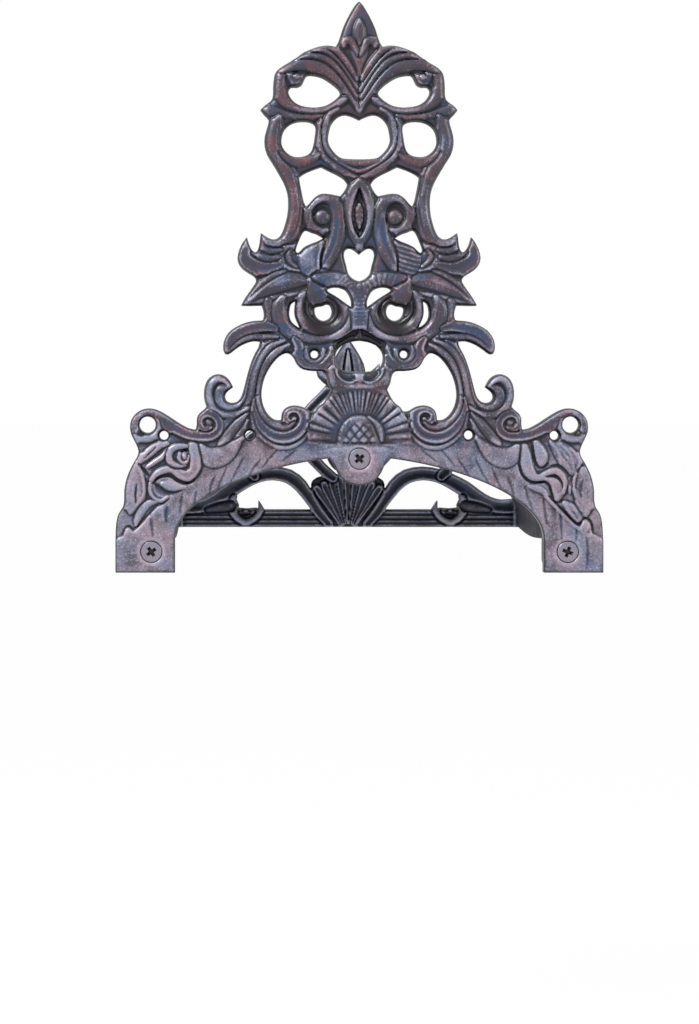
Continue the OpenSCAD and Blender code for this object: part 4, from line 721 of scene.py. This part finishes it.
def shell(field):
    """Scallop shell over the crown screw: fine flutes round a cross-hatched core."""
    up = field.z - SHELL_Z
    rho = np.hypot(field.x, up)
    turn = np.degrees(np.arctan2(np.abs(field.x), up))
    zone = (field.z > SHELL_Z - 2) & (rho < SHELL_REACH)
    sway = 0.12 * np.sin(turn * 0.35 + 0.6 * field.x / (1 + rho))
    flute = np.interp(turn, FLUTE_TURNS, FLUTE_COUNTS) + sway
    wave = (np.abs(np.cos(math.pi * flute)) - 0.5) * (1 - 0.35 * smoothstep(40, 70, turn))
    wear = 1 + 0.3 * np.sin(5.1 * flute + 0.35 * rho) * np.sin(0.55 * rho + 2.3 * flute)
    dish = DISH_HEIGHT + DISH_RISE * smoothstep(15, 28, rho)
    dish = dish + FLUTE_HEIGHT * wave * wear * smoothstep(14, 20, rho)
    ledge = np.exp(-((rho - LEDGE_R) / LEDGE_W) ** 2)
    ledge = ledge * smoothstep(38, 46, turn) * smoothstep(0, 0.5, wave)
    field.height = np.where(zone, dish + LEDGE_HEIGHT * ledge, field.height)
    field.ground = np.where(zone, SHELL_GROUND, field.ground)
    oval = np.sqrt((field.x / CORE_W) ** 2 + ((up + CORE_DROP) / CORE_H) ** 2)
    hatch = 0.0
    for lean in (-1, 1):
        line = (field.x * math.cos(HATCH_LEAN) + lean * up * math.sin(HATCH_LEAN)) / HATCH_PITCH
        line = line + 0.07 * np.sin(0.5 * field.z + lean * field.x * 0.3)
        hatch = hatch + np.exp(-((line - np.round(line)) * HATCH_PITCH / HATCH_W) ** 2)
    cut = HATCH_DEPTH * np.clip(hatch, 0, 1) * smoothstep(0.84, 0.62, oval)
    cut = cut * smoothstep(SHELL_Z + 13.5, SHELL_Z + 8.5, field.z)
    beads = BEAD_HEIGHT * np.exp(-((oval - BEAD_RIM) / BEAD_W) ** 2) * (1 + np.cos(FULL_TURN * flute))
    dome = CORE_TOP - CORE_FALL * oval ** 3 - cut + beads
    field.height = np.where(zone & (oval < 1), dome, field.height)


def countersink(field, node, face):
    """Seat of a screw's head, with a chamfered edge that the mesh's corners are drawn to."""
    x, z = screw_axis(node)
    field.rings.append((x, z, SINK_R))
    rho = np.hypot(field.x - x, field.z - z)
    rho = np.where(np.abs(rho - SINK_R) < SNAP, SINK_R, rho)
    lip = SINK_LIP_DROP * (1 - smoothstep(SINK_R, SINK_R + SINK_LIP, rho))
    seat = face - SEAT_DROP - (SINK_R - rho)
    field.height = np.where(rho < SINK_R, seat, field.height - lip)
    # Painted shade in the seat round the screw's head
    field.soot = np.maximum(field.soot, 0.5 - 0.5 * smoothstep(SINK_R, SINK_R + 0.3, rho))


def interpolate(x, points):
    return np.interp(x, *np.array(points).T)


def front_ground(field, low_part):
    """The ground that the strokes stand on: pillowed, deeper in the rings and under the stem."""
    x, z = np.abs(field.x), field.z
    under_stem = (1 - smoothstep(*UNDER_STEM_X, x)) * ((z < interpolate(x, CHIN)) & (z > UNDER_STEM_FROM))
    pillow = 1 - np.sqrt(1 - (1 - np.clip(field.phi / PILLOW_REACH, 0, 1)) ** 2)
    ground = FRONT_GROUND + 0.4 * low_part - (PILLOW_DROP - 2.4 * low_part) * pillow
    ground = ground - RING_DROP * field.near(RING_WINDOW, *RING_ZONE) * (under_stem == 0)
    field.ground = ground + (UNDER_STEM_GROUND - ground) * under_stem

    # Painted shade along the silhouette's edge, round the ring windows, in their sockets and under the
    # stem, taken off again on the bulb over each ring
    rim = 1 - smoothstep(0.1, 1.5, field.phi)
    socket = field.near(RING_WINDOW, *SOCKET_ZONE)
    soot = (0.95 - 0.6 * low_part) * rim + 0.3 * field.near(RING_WINDOW, *RING_EDGE_ZONE)
    soot = soot + 0.58 * socket + 0.8 * under_stem
    field.soot = np.clip(soot - 0.58 * socket * field.near(RING_BULB, *BULB_ZONE), 0, 1)

    edge = np.where(field.x < 0, interpolate(x, LEFT_STEP), interpolate(x, RIGHT_STEP))
    sharp = x > STEP_SHARP_FROM
    step = smoothstep(0, 0.9, edge - z) * sharp + smoothstep(*SOFT_STEP, z) * ~sharp
    foot = STEP_HEIGHT * step + TOE_HEIGHT * smoothstep(*TOE, z)
    field.ground = field.ground + foot * (x > STEP_FROM) * low_part
    field.height = field.ground.copy()


def sculpt_front():
    field = Field("front_casting", edge_reach=1.6)
    thick = (front_high[1] - front_low[1]) / MM
    z = field.z
    low_part = 1 - smoothstep(*LOW_PART, z)
    field.dip = 0.3 + 0.15 * low_part
    field.lift = 0.72 - 0.1 * low_part
    front_ground(field, low_part)
    paint_all(field, UPPER_STROKES)
    for row in KNOBS:
        knob(field, *row)
    shell(field)
    paint_all(field, LOWER_STROKES)
    crown_x, crown_z = screw_axis("front_screw_crown")
    rho = np.hypot(field.x - crown_x, z - crown_z)
    tab = thick - 0.15 - 1.7 * smoothstep(TAB_FLAT_R, TAB_R, rho) - 1.1 * smoothstep(TAB_FOOT, TAB_TOP, z)
    tab = np.where((rho < TAB_R) & (z < TAB_TOP), tab, 0)
    field.height = field.soften(np.maximum(field.height, tab), FINEST_DETAIL)
    field.height = np.clip(field.height, LEAST_HEIGHT, thick - SKIN)
    for place in ("left", "right", "crown"):
        countersink(field, "front_screw_" + place, thick)
    # Painted light: the whole lower part, the listed spots and more of it towards the bottom, less
    # towards the top
    painted_highlight = field.spots(PAINTED_LIGHT_AND_SHADE_SPOTS) - 0.12 + 0.26 * smoothstep(200, 125, z)
    field.polish = np.maximum(low_part, painted_highlight) - 0.12 * smoothstep(195, 215, z)
    bluer = 0.3 * smoothstep(66, 80, z) * smoothstep(215, 190, z)
    field.drift = field.spots(FINISH_DRIFTS) + bluer - 0.05 * low_part
    return build_casting("front_scrollwork", "front_casting", field, 1.7)


# Relief of the wall casting, drawn over the middle of its scrolls

WALL_STROKES = """
branch: g 3.2: 12.5 22 2.6, 17.5 27.4 3.2, 23.6 36 3.6, 30.6 46.2 4.6, 38.8 52.6 4.8, 49 54.5 4.5,
    59 53 4.6, 68 49.2 5, 76 44.6 5.4, 84 39.2 5, 92 34.9 4.6, 101 33 4.4, 112 33.8 4.8;
curl: r 3.4: 57 38 0.6, 56.6 33 1.8, 58.4 28 2.3, 62.4 24.4 2.4, 67.4 23.2 2.4, 72 25.2 2.6, 75 29.4 2.8,
    76 34.6 2.7, 75 39.6 1.6;
curl hollow: c 1.6: 62.4 35 0.8, 63.6 30.6 1.6, 66.8 28.4 1.7, 70 30.8 1.6, 71.2 35 0.8;
lyre: g 3.2: 10 52 3.2, 15 56 3.6, 20 61.1 3.7, 26 67.5 3.8, 30.4 76 3.9, 30.6 85 3.9, 26.4 93.6 3.9,
    19.6 101 3.9, 12.6 108 3.8, 7.4 115 3.8, 3 122 3;
outer scroll: g 3.2: 61 53 3.2, 66.6 60 4, 67.6 69 4.2, 63 77.4 4.2, 54.6 81.6 4.1, 46.4 80 3.7,
    42.4 74 3;
side leaf: v 3: 4 109.5 2.6, 11 114.5 3.4, 17.4 119.5 2.8, 20.6 126 0.4;
bridge: r 2.6: 33 78.5 3, 38 78.9 3, 43 78.5 3;
branch web: r 1.6: 77 33.5 3.4, 84 32.5 3, 92 31 1.6;
finial: v 3.4: 0 108 5.6, 0 116 9.4, 0 124 8.8, 0 133 5.2, 0 142 0.6;
finial drop: r 3.6: 0 111 1.6, 0 119 3, 0 128 2, 0 135 0.5;
"""
WALL_GROUND, FAN_GROUND = 4.3, 4.6
BAR_RIBS = (29.3, 26.4, 23.5, 20.9)
BAR_HEIGHT = 11.7
BAR_FROM = 14
BAR_FACE, BAR_RIB_HEIGHT, BAR_RIB_W = 5.2, 1.6, 1.1
FAN_W, FAN_H = 26, 55
FAN_CENTRE = 13.5
FAN_STEP = 8.25
# A rib of the fan: distance from its centre and half width
FAN_RIB = ((9, 0.7), (18, 1.25), (28, 2), (34, 2.4), (37.4, 2))
# Flat pads: on each side as wide as the shelf's foot, round the crown lug, and x, z and radius of
# the one in each outer scroll
FOOT_PAD_W, FOOT_PAD_TOP = 32, 66
LUG_PAD_R = 14.4
SCROLL_PAD = (50, 72, 8.6)
PAD_SINK, PAD_EDGE, PAD_EDGE_DROP = 0.1, 0.9, 0.8


def sculpt_wall():
    field = Field("wall_casting", edge_reach=0.6)
    thick = (wall_high[1] - wall_low[1]) / MM
    x, z = np.abs(field.x), field.z
    field.ground = np.full(x.shape, WALL_GROUND)
    field.dip = np.zeros_like(x)
    field.lift = np.full(x.shape, 1.1)
    # Painted shade taken off everywhere, so its recesses are painted less dark
    field.soot = np.full(x.shape, -0.26)
    field.drift = np.full(x.shape, 0.35)
    field.polish = np.zeros_like(x)
    bar = (z < wall_low[2] / MM - FEET_Z + BAR_HEIGHT) & (x > BAR_FROM)
    ribs = sum(np.exp(-((z - rib) / BAR_RIB_W) ** 2) for rib in BAR_RIBS)
    field.height = np.where(bar, BAR_FACE + BAR_RIB_HEIGHT * np.clip(ribs, 0, 1), field.ground)
    fan = (x < FAN_W) & (z < FAN_H)
    field.height = np.where(fan & ~bar, FAN_GROUND, field.height)
    for k in range(-4, 5):
        angle = math.radians(k * FAN_STEP)
        field.paint("g", 3.1, [(r * math.sin(angle), FAN_CENTRE + r * math.cos(angle), half)
                               for r, half in FAN_RIB])
    paint_all(field, WALL_STROKES)
    pad_face = thick - PAD_SINK
    pad = (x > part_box("shelf")[1][0] / MM - FOOT_PAD_W) & (z < FOOT_PAD_TOP)
    field.height = np.where(pad, pad_face, field.height)
    for cx, cz, r in ((*screw_axis("rear_screw_crown"), LUG_PAD_R), SCROLL_PAD):
        rho = np.hypot(x - cx, z - cz)
        face = pad_face - PAD_EDGE_DROP * smoothstep(r - PAD_EDGE, r, rho)
        field.height = np.where(rho < r, face, field.height)
    field.height = np.clip(field.soften(field.height, FINEST_DETAIL), LEAST_HEIGHT, thick - SKIN)
    return build_casting("wall_scrollwork", "wall_casting", field, 1.3)


# Screws, washers and nuts, each along +Z from the middle of its first face

SIDES, NUT_SIDES = 48, 72
SHANK_R = 3.0
HEAD_R = 6.1
PITCH = 1.0
THREAD_DEPTH = 0.38
THREAD_START = 6.0
# Radius and height of the rings of a screw's head, from the bottom of its face to the shank
HEAD_PROFILE = ((0.4, 0.06), (3.0, 0.06), (5.4, 0.1), (5.85, 0.16), (HEAD_R, 0.4), (HEAD_R, 0.62),
                (SHANK_R + 0.2, 3.7), (SHANK_R, 4.2))
# Half length, half width and height of the cross recess's top and bottom
CROSS_ENDS = ((3.8, 1.15, -0.6), (1.6, 0.7, 2.7))
# The zone round it where the finish paints shade
CROSS_R, CROSS_LOW, CROSS_HIGH = 4.3, 0.3, 3.6
SCREW_TURNS = {"left": 10, "right": -25, "crown": 5}


def ring(radius, z, count=SIDES):
    """Points round the Z axis. Radius and height are numbers or functions of the angle."""
    def at(value, a):
        return value(a) if callable(value) else value
    turns = [FULL_TURN * i / count for i in range(count)]
    return [(at(radius, a) * math.cos(a), at(radius, a) * math.sin(a), at(z, a)) for a in turns]


def ring_mesh(name, rings, closed):
    """Mesh of rings of equal count. It runs back from the last ring to the first, as round a
    bore, or else has a flat cap at each end."""
    count, n = len(rings[0]), len(rings)
    faces = [(k * count + i, k * count + (i + 1) % count,
              (k + 1) % n * count + (i + 1) % count, (k + 1) % n * count + i)
             for k in range(n if closed else n - 1) for i in range(count)]
    if not closed:
        faces += [tuple(range(count))[::-1], tuple(range((n - 1) * count, n * count))]
    mesh = bpy.data.meshes.new(name)
    mesh.from_pydata([(x * MM, y * MM, z * MM) for points in rings for x, y, z in points], [], faces)
    return mesh


def screw_mesh(length):
    """Countersunk screw with a cut thread and a cross recess."""
    rings = [ring(r, z) for r, z in HEAD_PROFILE]
    z = THREAD_START
    while z < length - 1:
        depth = THREAD_DEPTH * min(1.0, (z - THREAD_START) / 2)
        rings.append(ring(lambda a: SHANK_R - depth * abs(2 * ((z / PITCH - a / FULL_TURN) % 1) - 1), z))
        z += PITCH / 6
    rings += [ring(SHANK_R - 0.5, length - 0.5), ring(SHANK_R - 1.0, length)]
    mesh = cut_cross(ring_mesh("machine_screw", rings, closed=False))
    # Painted shade inside the cross recess
    inside = [math.hypot(v.co.x, v.co.y) < CROSS_R * MM and CROSS_LOW * MM < v.co.z < CROSS_HIGH * MM
              for v in mesh.vertices]
    store(mesh, "recess", np.array(inside, float))
    return mesh


def cut_cross(mesh):
    """Cuts the tapered cross recess into the head."""
    body = link("recess_work", mesh)
    cutter = bmesh.new()
    for turn in (math.pi / 4, -math.pi / 4):
        cos, sin = math.cos(turn), math.sin(turn)
        top, bottom = ([cutter.verts.new(((sx * long * cos - sy * wide * sin) * MM,
                                          (sx * long * sin + sy * wide * cos) * MM, z * MM))
                        for sx, sy in ((-1, -1), (1, -1), (1, 1), (-1, 1))]
                       for long, wide, z in CROSS_ENDS)
        for k in range(4):
            cutter.faces.new((top[k], top[(k + 1) % 4], bottom[(k + 1) % 4], bottom[k]))
        cutter.faces.new(top[::-1])
        cutter.faces.new(bottom)
    bmesh.ops.recalc_face_normals(cutter, faces=cutter.faces)
    tool_mesh = bpy.data.meshes.new("recess_tool")
    cutter.to_mesh(tool_mesh)
    cutter.free()
    tool = link("recess_tool", tool_mesh)
    cut = body.modifiers.new("recess", "BOOLEAN")
    cut.operation = "DIFFERENCE"
    cut.solver = "EXACT"
    cut.use_self = True
    cut.object = tool
    deps = bpy.context.evaluated_depsgraph_get()
    result = bpy.data.meshes.new_from_object(body.evaluated_get(deps))
    for obj in (body, tool):
        bpy.data.objects.remove(obj, do_unlink=True)
    return result


def nut_mesh(across_flats, thick, chamfer=math.radians(30), ease=0.12):
    """Hex nut with chamfered corners and a bore, flats up and down."""
    bore, flat = SHANK_R + 0.05, across_flats / 2
    bore_rim, face_r = bore + 0.45, flat - 0.25

    def hexagon(a):
        return flat / math.cos((a - math.pi / 6) % (math.pi / 3) - math.pi / 6)

    def eased(a):
        return hexagon(a) - ease / 2

    def fall(a):
        """How far the chamfer falls back from the nut's face."""
        return (hexagon(a) - flat) * math.tan(chamfer) + ease
    profile = ((bore, thick - 0.5), (bore, 0.5), (bore_rim, 0), (face_r, 0), (eased, fall),
               (hexagon, lambda a: fall(a) + ease), (hexagon, lambda a: thick - fall(a) - ease),
               (eased, lambda a: thick - fall(a)), (face_r, thick), (bore_rim, thick))
    return ring_mesh("hex_nut", [ring(r, z, NUT_SIDES) for r, z in profile], closed=True)


def washer_mesh(width, thick, edge=0.15):
    """Flat washer with softened edges."""
    bore, radius = SHANK_R + 0.2, width / 2
    profile = ((bore, thick - edge), (bore, edge), (bore + edge, 0), (radius - edge, 0), (radius, edge),
               (radius, thick - edge), (radius - edge, thick), (bore + edge, thick))
    return ring_mesh("flat_washer", [ring(r, z) for r, z in profile], closed=True)


def place_fastener(name, node, mesh, faces_front):
    """Puts a piece on the axis of its node, growing to +Y where it starts at the front."""
    low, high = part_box(node)
    obj = link(name, mesh)
    obj.location = ((low[0] + high[0]) / 2, low[1] if faces_front else high[1], (low[2] + high[2]) / 2)
    obj.rotation_euler = (-math.pi / 2 if faces_front else math.pi / 2, 0, 0)
    return obj


# Materials

class Graph:
    """Short forms for the nodes of a material or world. Inputs are numbers, colours or sockets."""

    def __init__(self, owner):
        owner.use_nodes = True
        self.nodes, self.links = owner.node_tree.nodes, owner.node_tree.links

    def fill(self, node, inputs):
        for key, value in inputs.items():
            if isinstance(value, bpy.types.NodeSocket):
                self.links.new(value, node.inputs[key])
            else:
                node.inputs[key].default_value = (*value, 1) if isinstance(value, tuple) else value
        return node

    def new(self, kind, inputs):
        return self.fill(self.nodes.new(kind), inputs)

    def attribute(self, name):
        node = self.nodes.new("ShaderNodeAttribute")
        node.attribute_name = name
        return node.outputs["Fac"]

    def noise(self, coord, scale, detail=3.0, rough=0.55):
        return self.new("ShaderNodeTexNoise", {"Vector": coord, "Scale": scale, "Detail": detail,
                                               "Roughness": rough}).outputs["Fac"]

    def mix(self, factor, under, over):
        node = self.nodes.new("ShaderNodeMix")
        node.data_type = "RGBA"
        return self.fill(node, {0: factor, 6: under, 7: over}).outputs[2]

    def remap(self, value, low, high, to_low=0.0, to_high=1.0):
        node = self.nodes.new("ShaderNodeMapRange")
        node.interpolation_type = "SMOOTHSTEP"
        return self.fill(node, {"Value": value, "From Min": low, "From Max": high, "To Min": to_low,
                                "To Max": to_high}).outputs["Result"]

    def maths(self, operation, a, b):
        node = self.nodes.new("ShaderNodeMath")
        node.operation = operation
        return self.fill(node, {0: a, 1: b}).outputs[0]

    def add(self, a, b):
        return self.maths("ADD", a, b)

    def less(self, a, b):
        return self.maths("SUBTRACT", a, b)

    def times(self, a, b):
        return self.maths("MULTIPLY", a, b)

    def show_camera(self, shown, lit, output, amount=1.0):
        """Lets the camera see one shader, straight, mirrored or through glass, where light meets
        another."""
        ray = self.nodes.new("ShaderNodeLightPath").outputs
        seen = self.maths("MAXIMUM", ray["Is Camera Ray"], ray["Is Glossy Ray"])
        seen = self.times(self.maths("MAXIMUM", seen, ray["Is Transmission Ray"]), amount)
        pick = self.new("ShaderNodeMixShader", {0: seen, 1: lit, 2: shown})
        self.links.new(pick.outputs["Shader"], self.nodes[output].inputs["Surface"])


# Colour of the painted glints
SPARK = (0.36, 0.35, 0.40)


def patina(name, dark, body, painted_highlight, cool_painted_highlight, cool, warm, roughness=0.4, metallic=0.1, grit=1.0,
           gloss=0.35, shine_range=(0.2, 0.9)):
    """Antique finish on cast iron: painted shade in recesses and grooves, cool hollows, painted
    highlights on ridges, cast grit.
    """
    material = bpy.data.materials.new(name)
    g = Graph(material)
    coord = g.nodes.new("ShaderNodeTexCoord").outputs["Object"]
    relief, recess, polish, drift = map(g.attribute, ("relief", "recess", "polish", "drift"))
    patches = g.noise(coord, 70, 4)
    speckle = g.noise(coord, 900, 5, 0.7)
    grit_shift = g.remap(speckle, 0.35, 0.65, -0.05, 0.05)
    high = g.add(relief, grit_shift)

    cloudy = g.add(g.remap(g.noise(coord, 30), 0.4, 0.62, -0.2, 0.5), g.times(drift, 0.4))
    tint = g.mix(g.remap(g.add(g.times(high, -1), cloudy), -0.05, 0.45, 0, 0.85), body, cool)
    blush = g.remap(g.less(patches, g.times(drift, 0.14)), 0.42, 0.62)
    tint = g.mix(g.times(blush, g.remap(high, -0.05, 0.3, 0.2, 0.8)), tint, warm)

    # Painted highlight: warm or cool by a mottle, laid on crests and where painted light is set
    mottle = g.less(g.noise(coord, 45, 3), g.times(drift, 0.14))
    bright = g.mix(g.remap(mottle, 0.4, 0.6), cool_painted_highlight, painted_highlight)
    shine = g.add(g.times(high, 0.8), g.times(polish, 0.65))
    shine = g.less(shine, g.remap(g.noise(coord, 130, 4), 0.46, 0.62, 0, 0.16))
    tint = g.mix(g.remap(shine, *shine_range, 0, 0.8), tint, bright)
    # Painted glints: bright specks on the brightest painted highlights
    painted_glint = g.times(g.remap(speckle, 0.54, 0.66), g.remap(shine, 0.05, 0.5, 0, 0.38))
    tint = g.mix(painted_glint, tint, SPARK)

    # Painted shade: darkest in grooves and recesses, lighter where painted light is set
    low = g.add(g.maths("MAXIMUM", g.times(relief, -1.2), recess), grit_shift)
    low = g.less(low, g.times(polish, 0.12))
    tint = g.mix(g.remap(low, 0.01, 0.56, 0, 0.95), tint, dark)
    flecked = g.new("ShaderNodeHueSaturation",
                    {"Color": tint, "Value": g.remap(speckle, 0.3, 0.7, 0.84, 1.14)})
    skin = g.add(g.times(speckle, 0.7), g.times(g.noise(coord, 2600, 2, 0.6), 0.35))
    bump = g.new("ShaderNodeBump", {"Strength": 0.3 * grit, "Distance": 0.3 * MM, "Height": skin})
    matt = g.remap(patches, 0.35, 0.7, roughness - 0.06, roughness + 0.1)
    g.fill(g.nodes["Principled BSDF"],
           {"Base Color": flecked.outputs["Color"], "Roughness": matt, "Metallic": metallic,
            "Specular IOR Level": gloss, "Normal": bump.outputs["Normal"]})
    return material


def pale_floor(whiteness=0.985):
    """Pale floor that the camera sees as almost white, with a trace of the shadow left on it."""
    material = bpy.data.materials.new("pale_floor")
    g = Graph(material)
    lit = g.fill(g.nodes["Principled BSDF"], {"Base Color": (0.86, 0.86, 0.86), "Roughness": 0.9})
    glow = g.nodes.new("ShaderNodeEmission")
    g.show_camera(glow.outputs["Emission"], lit.outputs["BSDF"], "Material Output", whiteness)
    return material


def finish_piece(obj, material, node, sharp_angle):
    """Shades a piece, gives it its material and lets it stand in for its node."""
    bpy.context.view_layer.update()
    mesh = obj.data
    mesh.polygons.foreach_set("use_smooth", np.ones(len(mesh.polygons), bool))
    mesh.set_sharp_from_angle(angle=math.radians(sharp_angle))
    mesh.materials.clear()
    mesh.materials.append(material)
    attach(obj, "root")
    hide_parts(node)


# The object

front_iron = patina("front_iron", dark=(0.005, 0.004, 0.006), body=(0.040, 0.034, 0.048),
                    painted_highlight=(0.315, 0.257, 0.315), cool_painted_highlight=(0.232, 0.246, 0.335),
                    cool=(0.030, 0.045, 0.092), warm=(0.078, 0.036, 0.044), shine_range=(0.27, 0.98))
wall_iron = patina("wall_iron", dark=(0.005, 0.005, 0.008), body=(0.042, 0.040, 0.054),
                   painted_highlight=(0.30, 0.28, 0.33), cool_painted_highlight=(0.23, 0.26, 0.37),
                   cool=(0.030, 0.043, 0.084), warm=(0.054, 0.036, 0.037), shine_range=(0.05, 0.62))
shelf_iron = patina("shelf_iron", dark=(0.008, 0.007, 0.009), body=(0.048, 0.041, 0.053),
                    painted_highlight=(0.25, 0.22, 0.25), cool_painted_highlight=(0.20, 0.22, 0.28),
                    cool=(0.043, 0.044, 0.064), warm=(0.056, 0.039, 0.045), roughness=0.62,
                    grit=1.6, gloss=0.2)
screw_finish = patina("screw_finish", dark=(0.02, 0.018, 0.02), body=(0.25, 0.225, 0.27),
                      painted_highlight=(0.38, 0.34, 0.39), cool_painted_highlight=(0.30, 0.31, 0.38),
                      cool=(0.20, 0.205, 0.27), warm=(0.23, 0.175, 0.19), roughness=0.34,
                      metallic=0.6, grit=0.4, gloss=0.5)

finish_piece(sculpt_front(), front_iron, "front_casting", 50)
finish_piece(sculpt_wall(), wall_iron, "wall_casting", 50)

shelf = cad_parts["shelf"]
shelf.data.materials.clear()
shelf.data.materials.append(shelf_iron)
weld = shelf.modifiers.new("weld", "WELD")
weld.merge_threshold = 0.01 * MM
flats = shelf.modifiers.new("whole flats", "DECIMATE")
flats.decimate_type = "DISSOLVE"
flats.angle_limit = math.radians(0.5)
soft = shelf.modifiers.new("soft edges", "BEVEL")
soft.width = 0.7 * MM
soft.segments = 2
soft.limit_method = "ANGLE"
soft.angle_limit = math.radians(40)
even = shelf.modifiers.new("even shading", "WEIGHTED_NORMAL")
even.keep_sharp = False
even.weight = 80


def size_mm(node):
    """Width along X and thickness along Y."""
    low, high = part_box(node)
    return (high[0] - low[0]) / MM, (high[1] - low[1]) / MM


fasteners = {"screw": screw_mesh(size_mm("front_screw_left")[1]),
             "washer": washer_mesh(*size_mm("front_washer_left")),
             "nut": nut_mesh(*size_mm("front_nut_left"))}
for end in ("front", "rear"):
    for place in ("left", "right", "crown"):
        for kind, mesh in fasteners.items():
            node = f"{end}_{kind}_{place}"
            turned = mesh.copy()
            turned.transform(Matrix.Rotation(math.radians(SCREW_TURNS[place]), 4, "Z"))
            piece = place_fastener(f"{node}_finished", node, turned, end == "front")
            finish_piece(piece, screw_finish, node, 30)

# Floor, light and camera

FLOOR_DROP = 320
FLOOR_REACH = 30.0
floor_mesh = bpy.data.meshes.new("floor")
floor_mesh.from_pydata([(sx * FLOOR_REACH, sy * FLOOR_REACH, (FEET_Z - FLOOR_DROP) * MM)
                        for sx, sy in ((-1, -1), (1, -1), (1, 1), (-1, 1))], [], [(0, 1, 2, 3)])
floor = link("floor", floor_mesh)
floor.data.materials.append(pale_floor())


def softbox(name, place, size, power, target=(0, -0.1, 0.13)):
    light = bpy.data.lights.new(name, "AREA")
    light.shape = "RECTANGLE"
    light.size, light.size_y = size
    light.energy = power
    obj = link(name, light)
    obj.location = place
    x, y, z = np.array(place) - np.array(target)
    obj.rotation_euler = (math.atan2(math.hypot(x, y), z), 0, math.atan2(x, -y))


softbox("key", (-1.0, -0.85, 1.2), (0.4, 0.4), 50)
softbox("fill", (1.35, -0.75, 0.5), (0.4, 0.6), 14)
softbox("top", (0.1, 0.3, 1.6), (0.9, 0.5), 10)

world = bpy.data.worlds.new("studio")
bpy.context.scene.world = world
g = Graph(world)
lit = g.fill(g.nodes["Background"], {"Color": (1, 1, 1), "Strength": 0.16})
shown = g.new("ShaderNodeBackground", {"Color": (1, 1, 1)})
g.show_camera(shown.outputs["Background"], lit.outputs["Background"], "World Output")

camera_data = bpy.data.cameras.new("camera")
camera_data.sensor_fit = "VERTICAL"
camera_data.sensor_height = 24
camera_data.lens = camera_data.sensor_height * PX_PER_MM * CAMERA_DISTANCE / IMAGE_H
camera_data.shift_x = (IMAGE_W / 2 - CENTRE_LINE_PX - PX_PER_MM * CAMERA_X) / IMAGE_H
camera_data.shift_y = (FEET_PX - PX_PER_MM * CAMERA_Z - IMAGE_H / 2) / IMAGE_H
camera_data.clip_start = 0.05
camera = link("camera", camera_data)
camera.location = (CAMERA_X * MM, front_low[1] - CAMERA_DISTANCE * MM, (CAMERA_Z + FEET_Z) * MM)
camera.rotation_euler = (math.pi / 2, 0, 0)
bpy.context.scene.camera = camera
bpy.context.scene.view_settings.view_transform = "Standard"
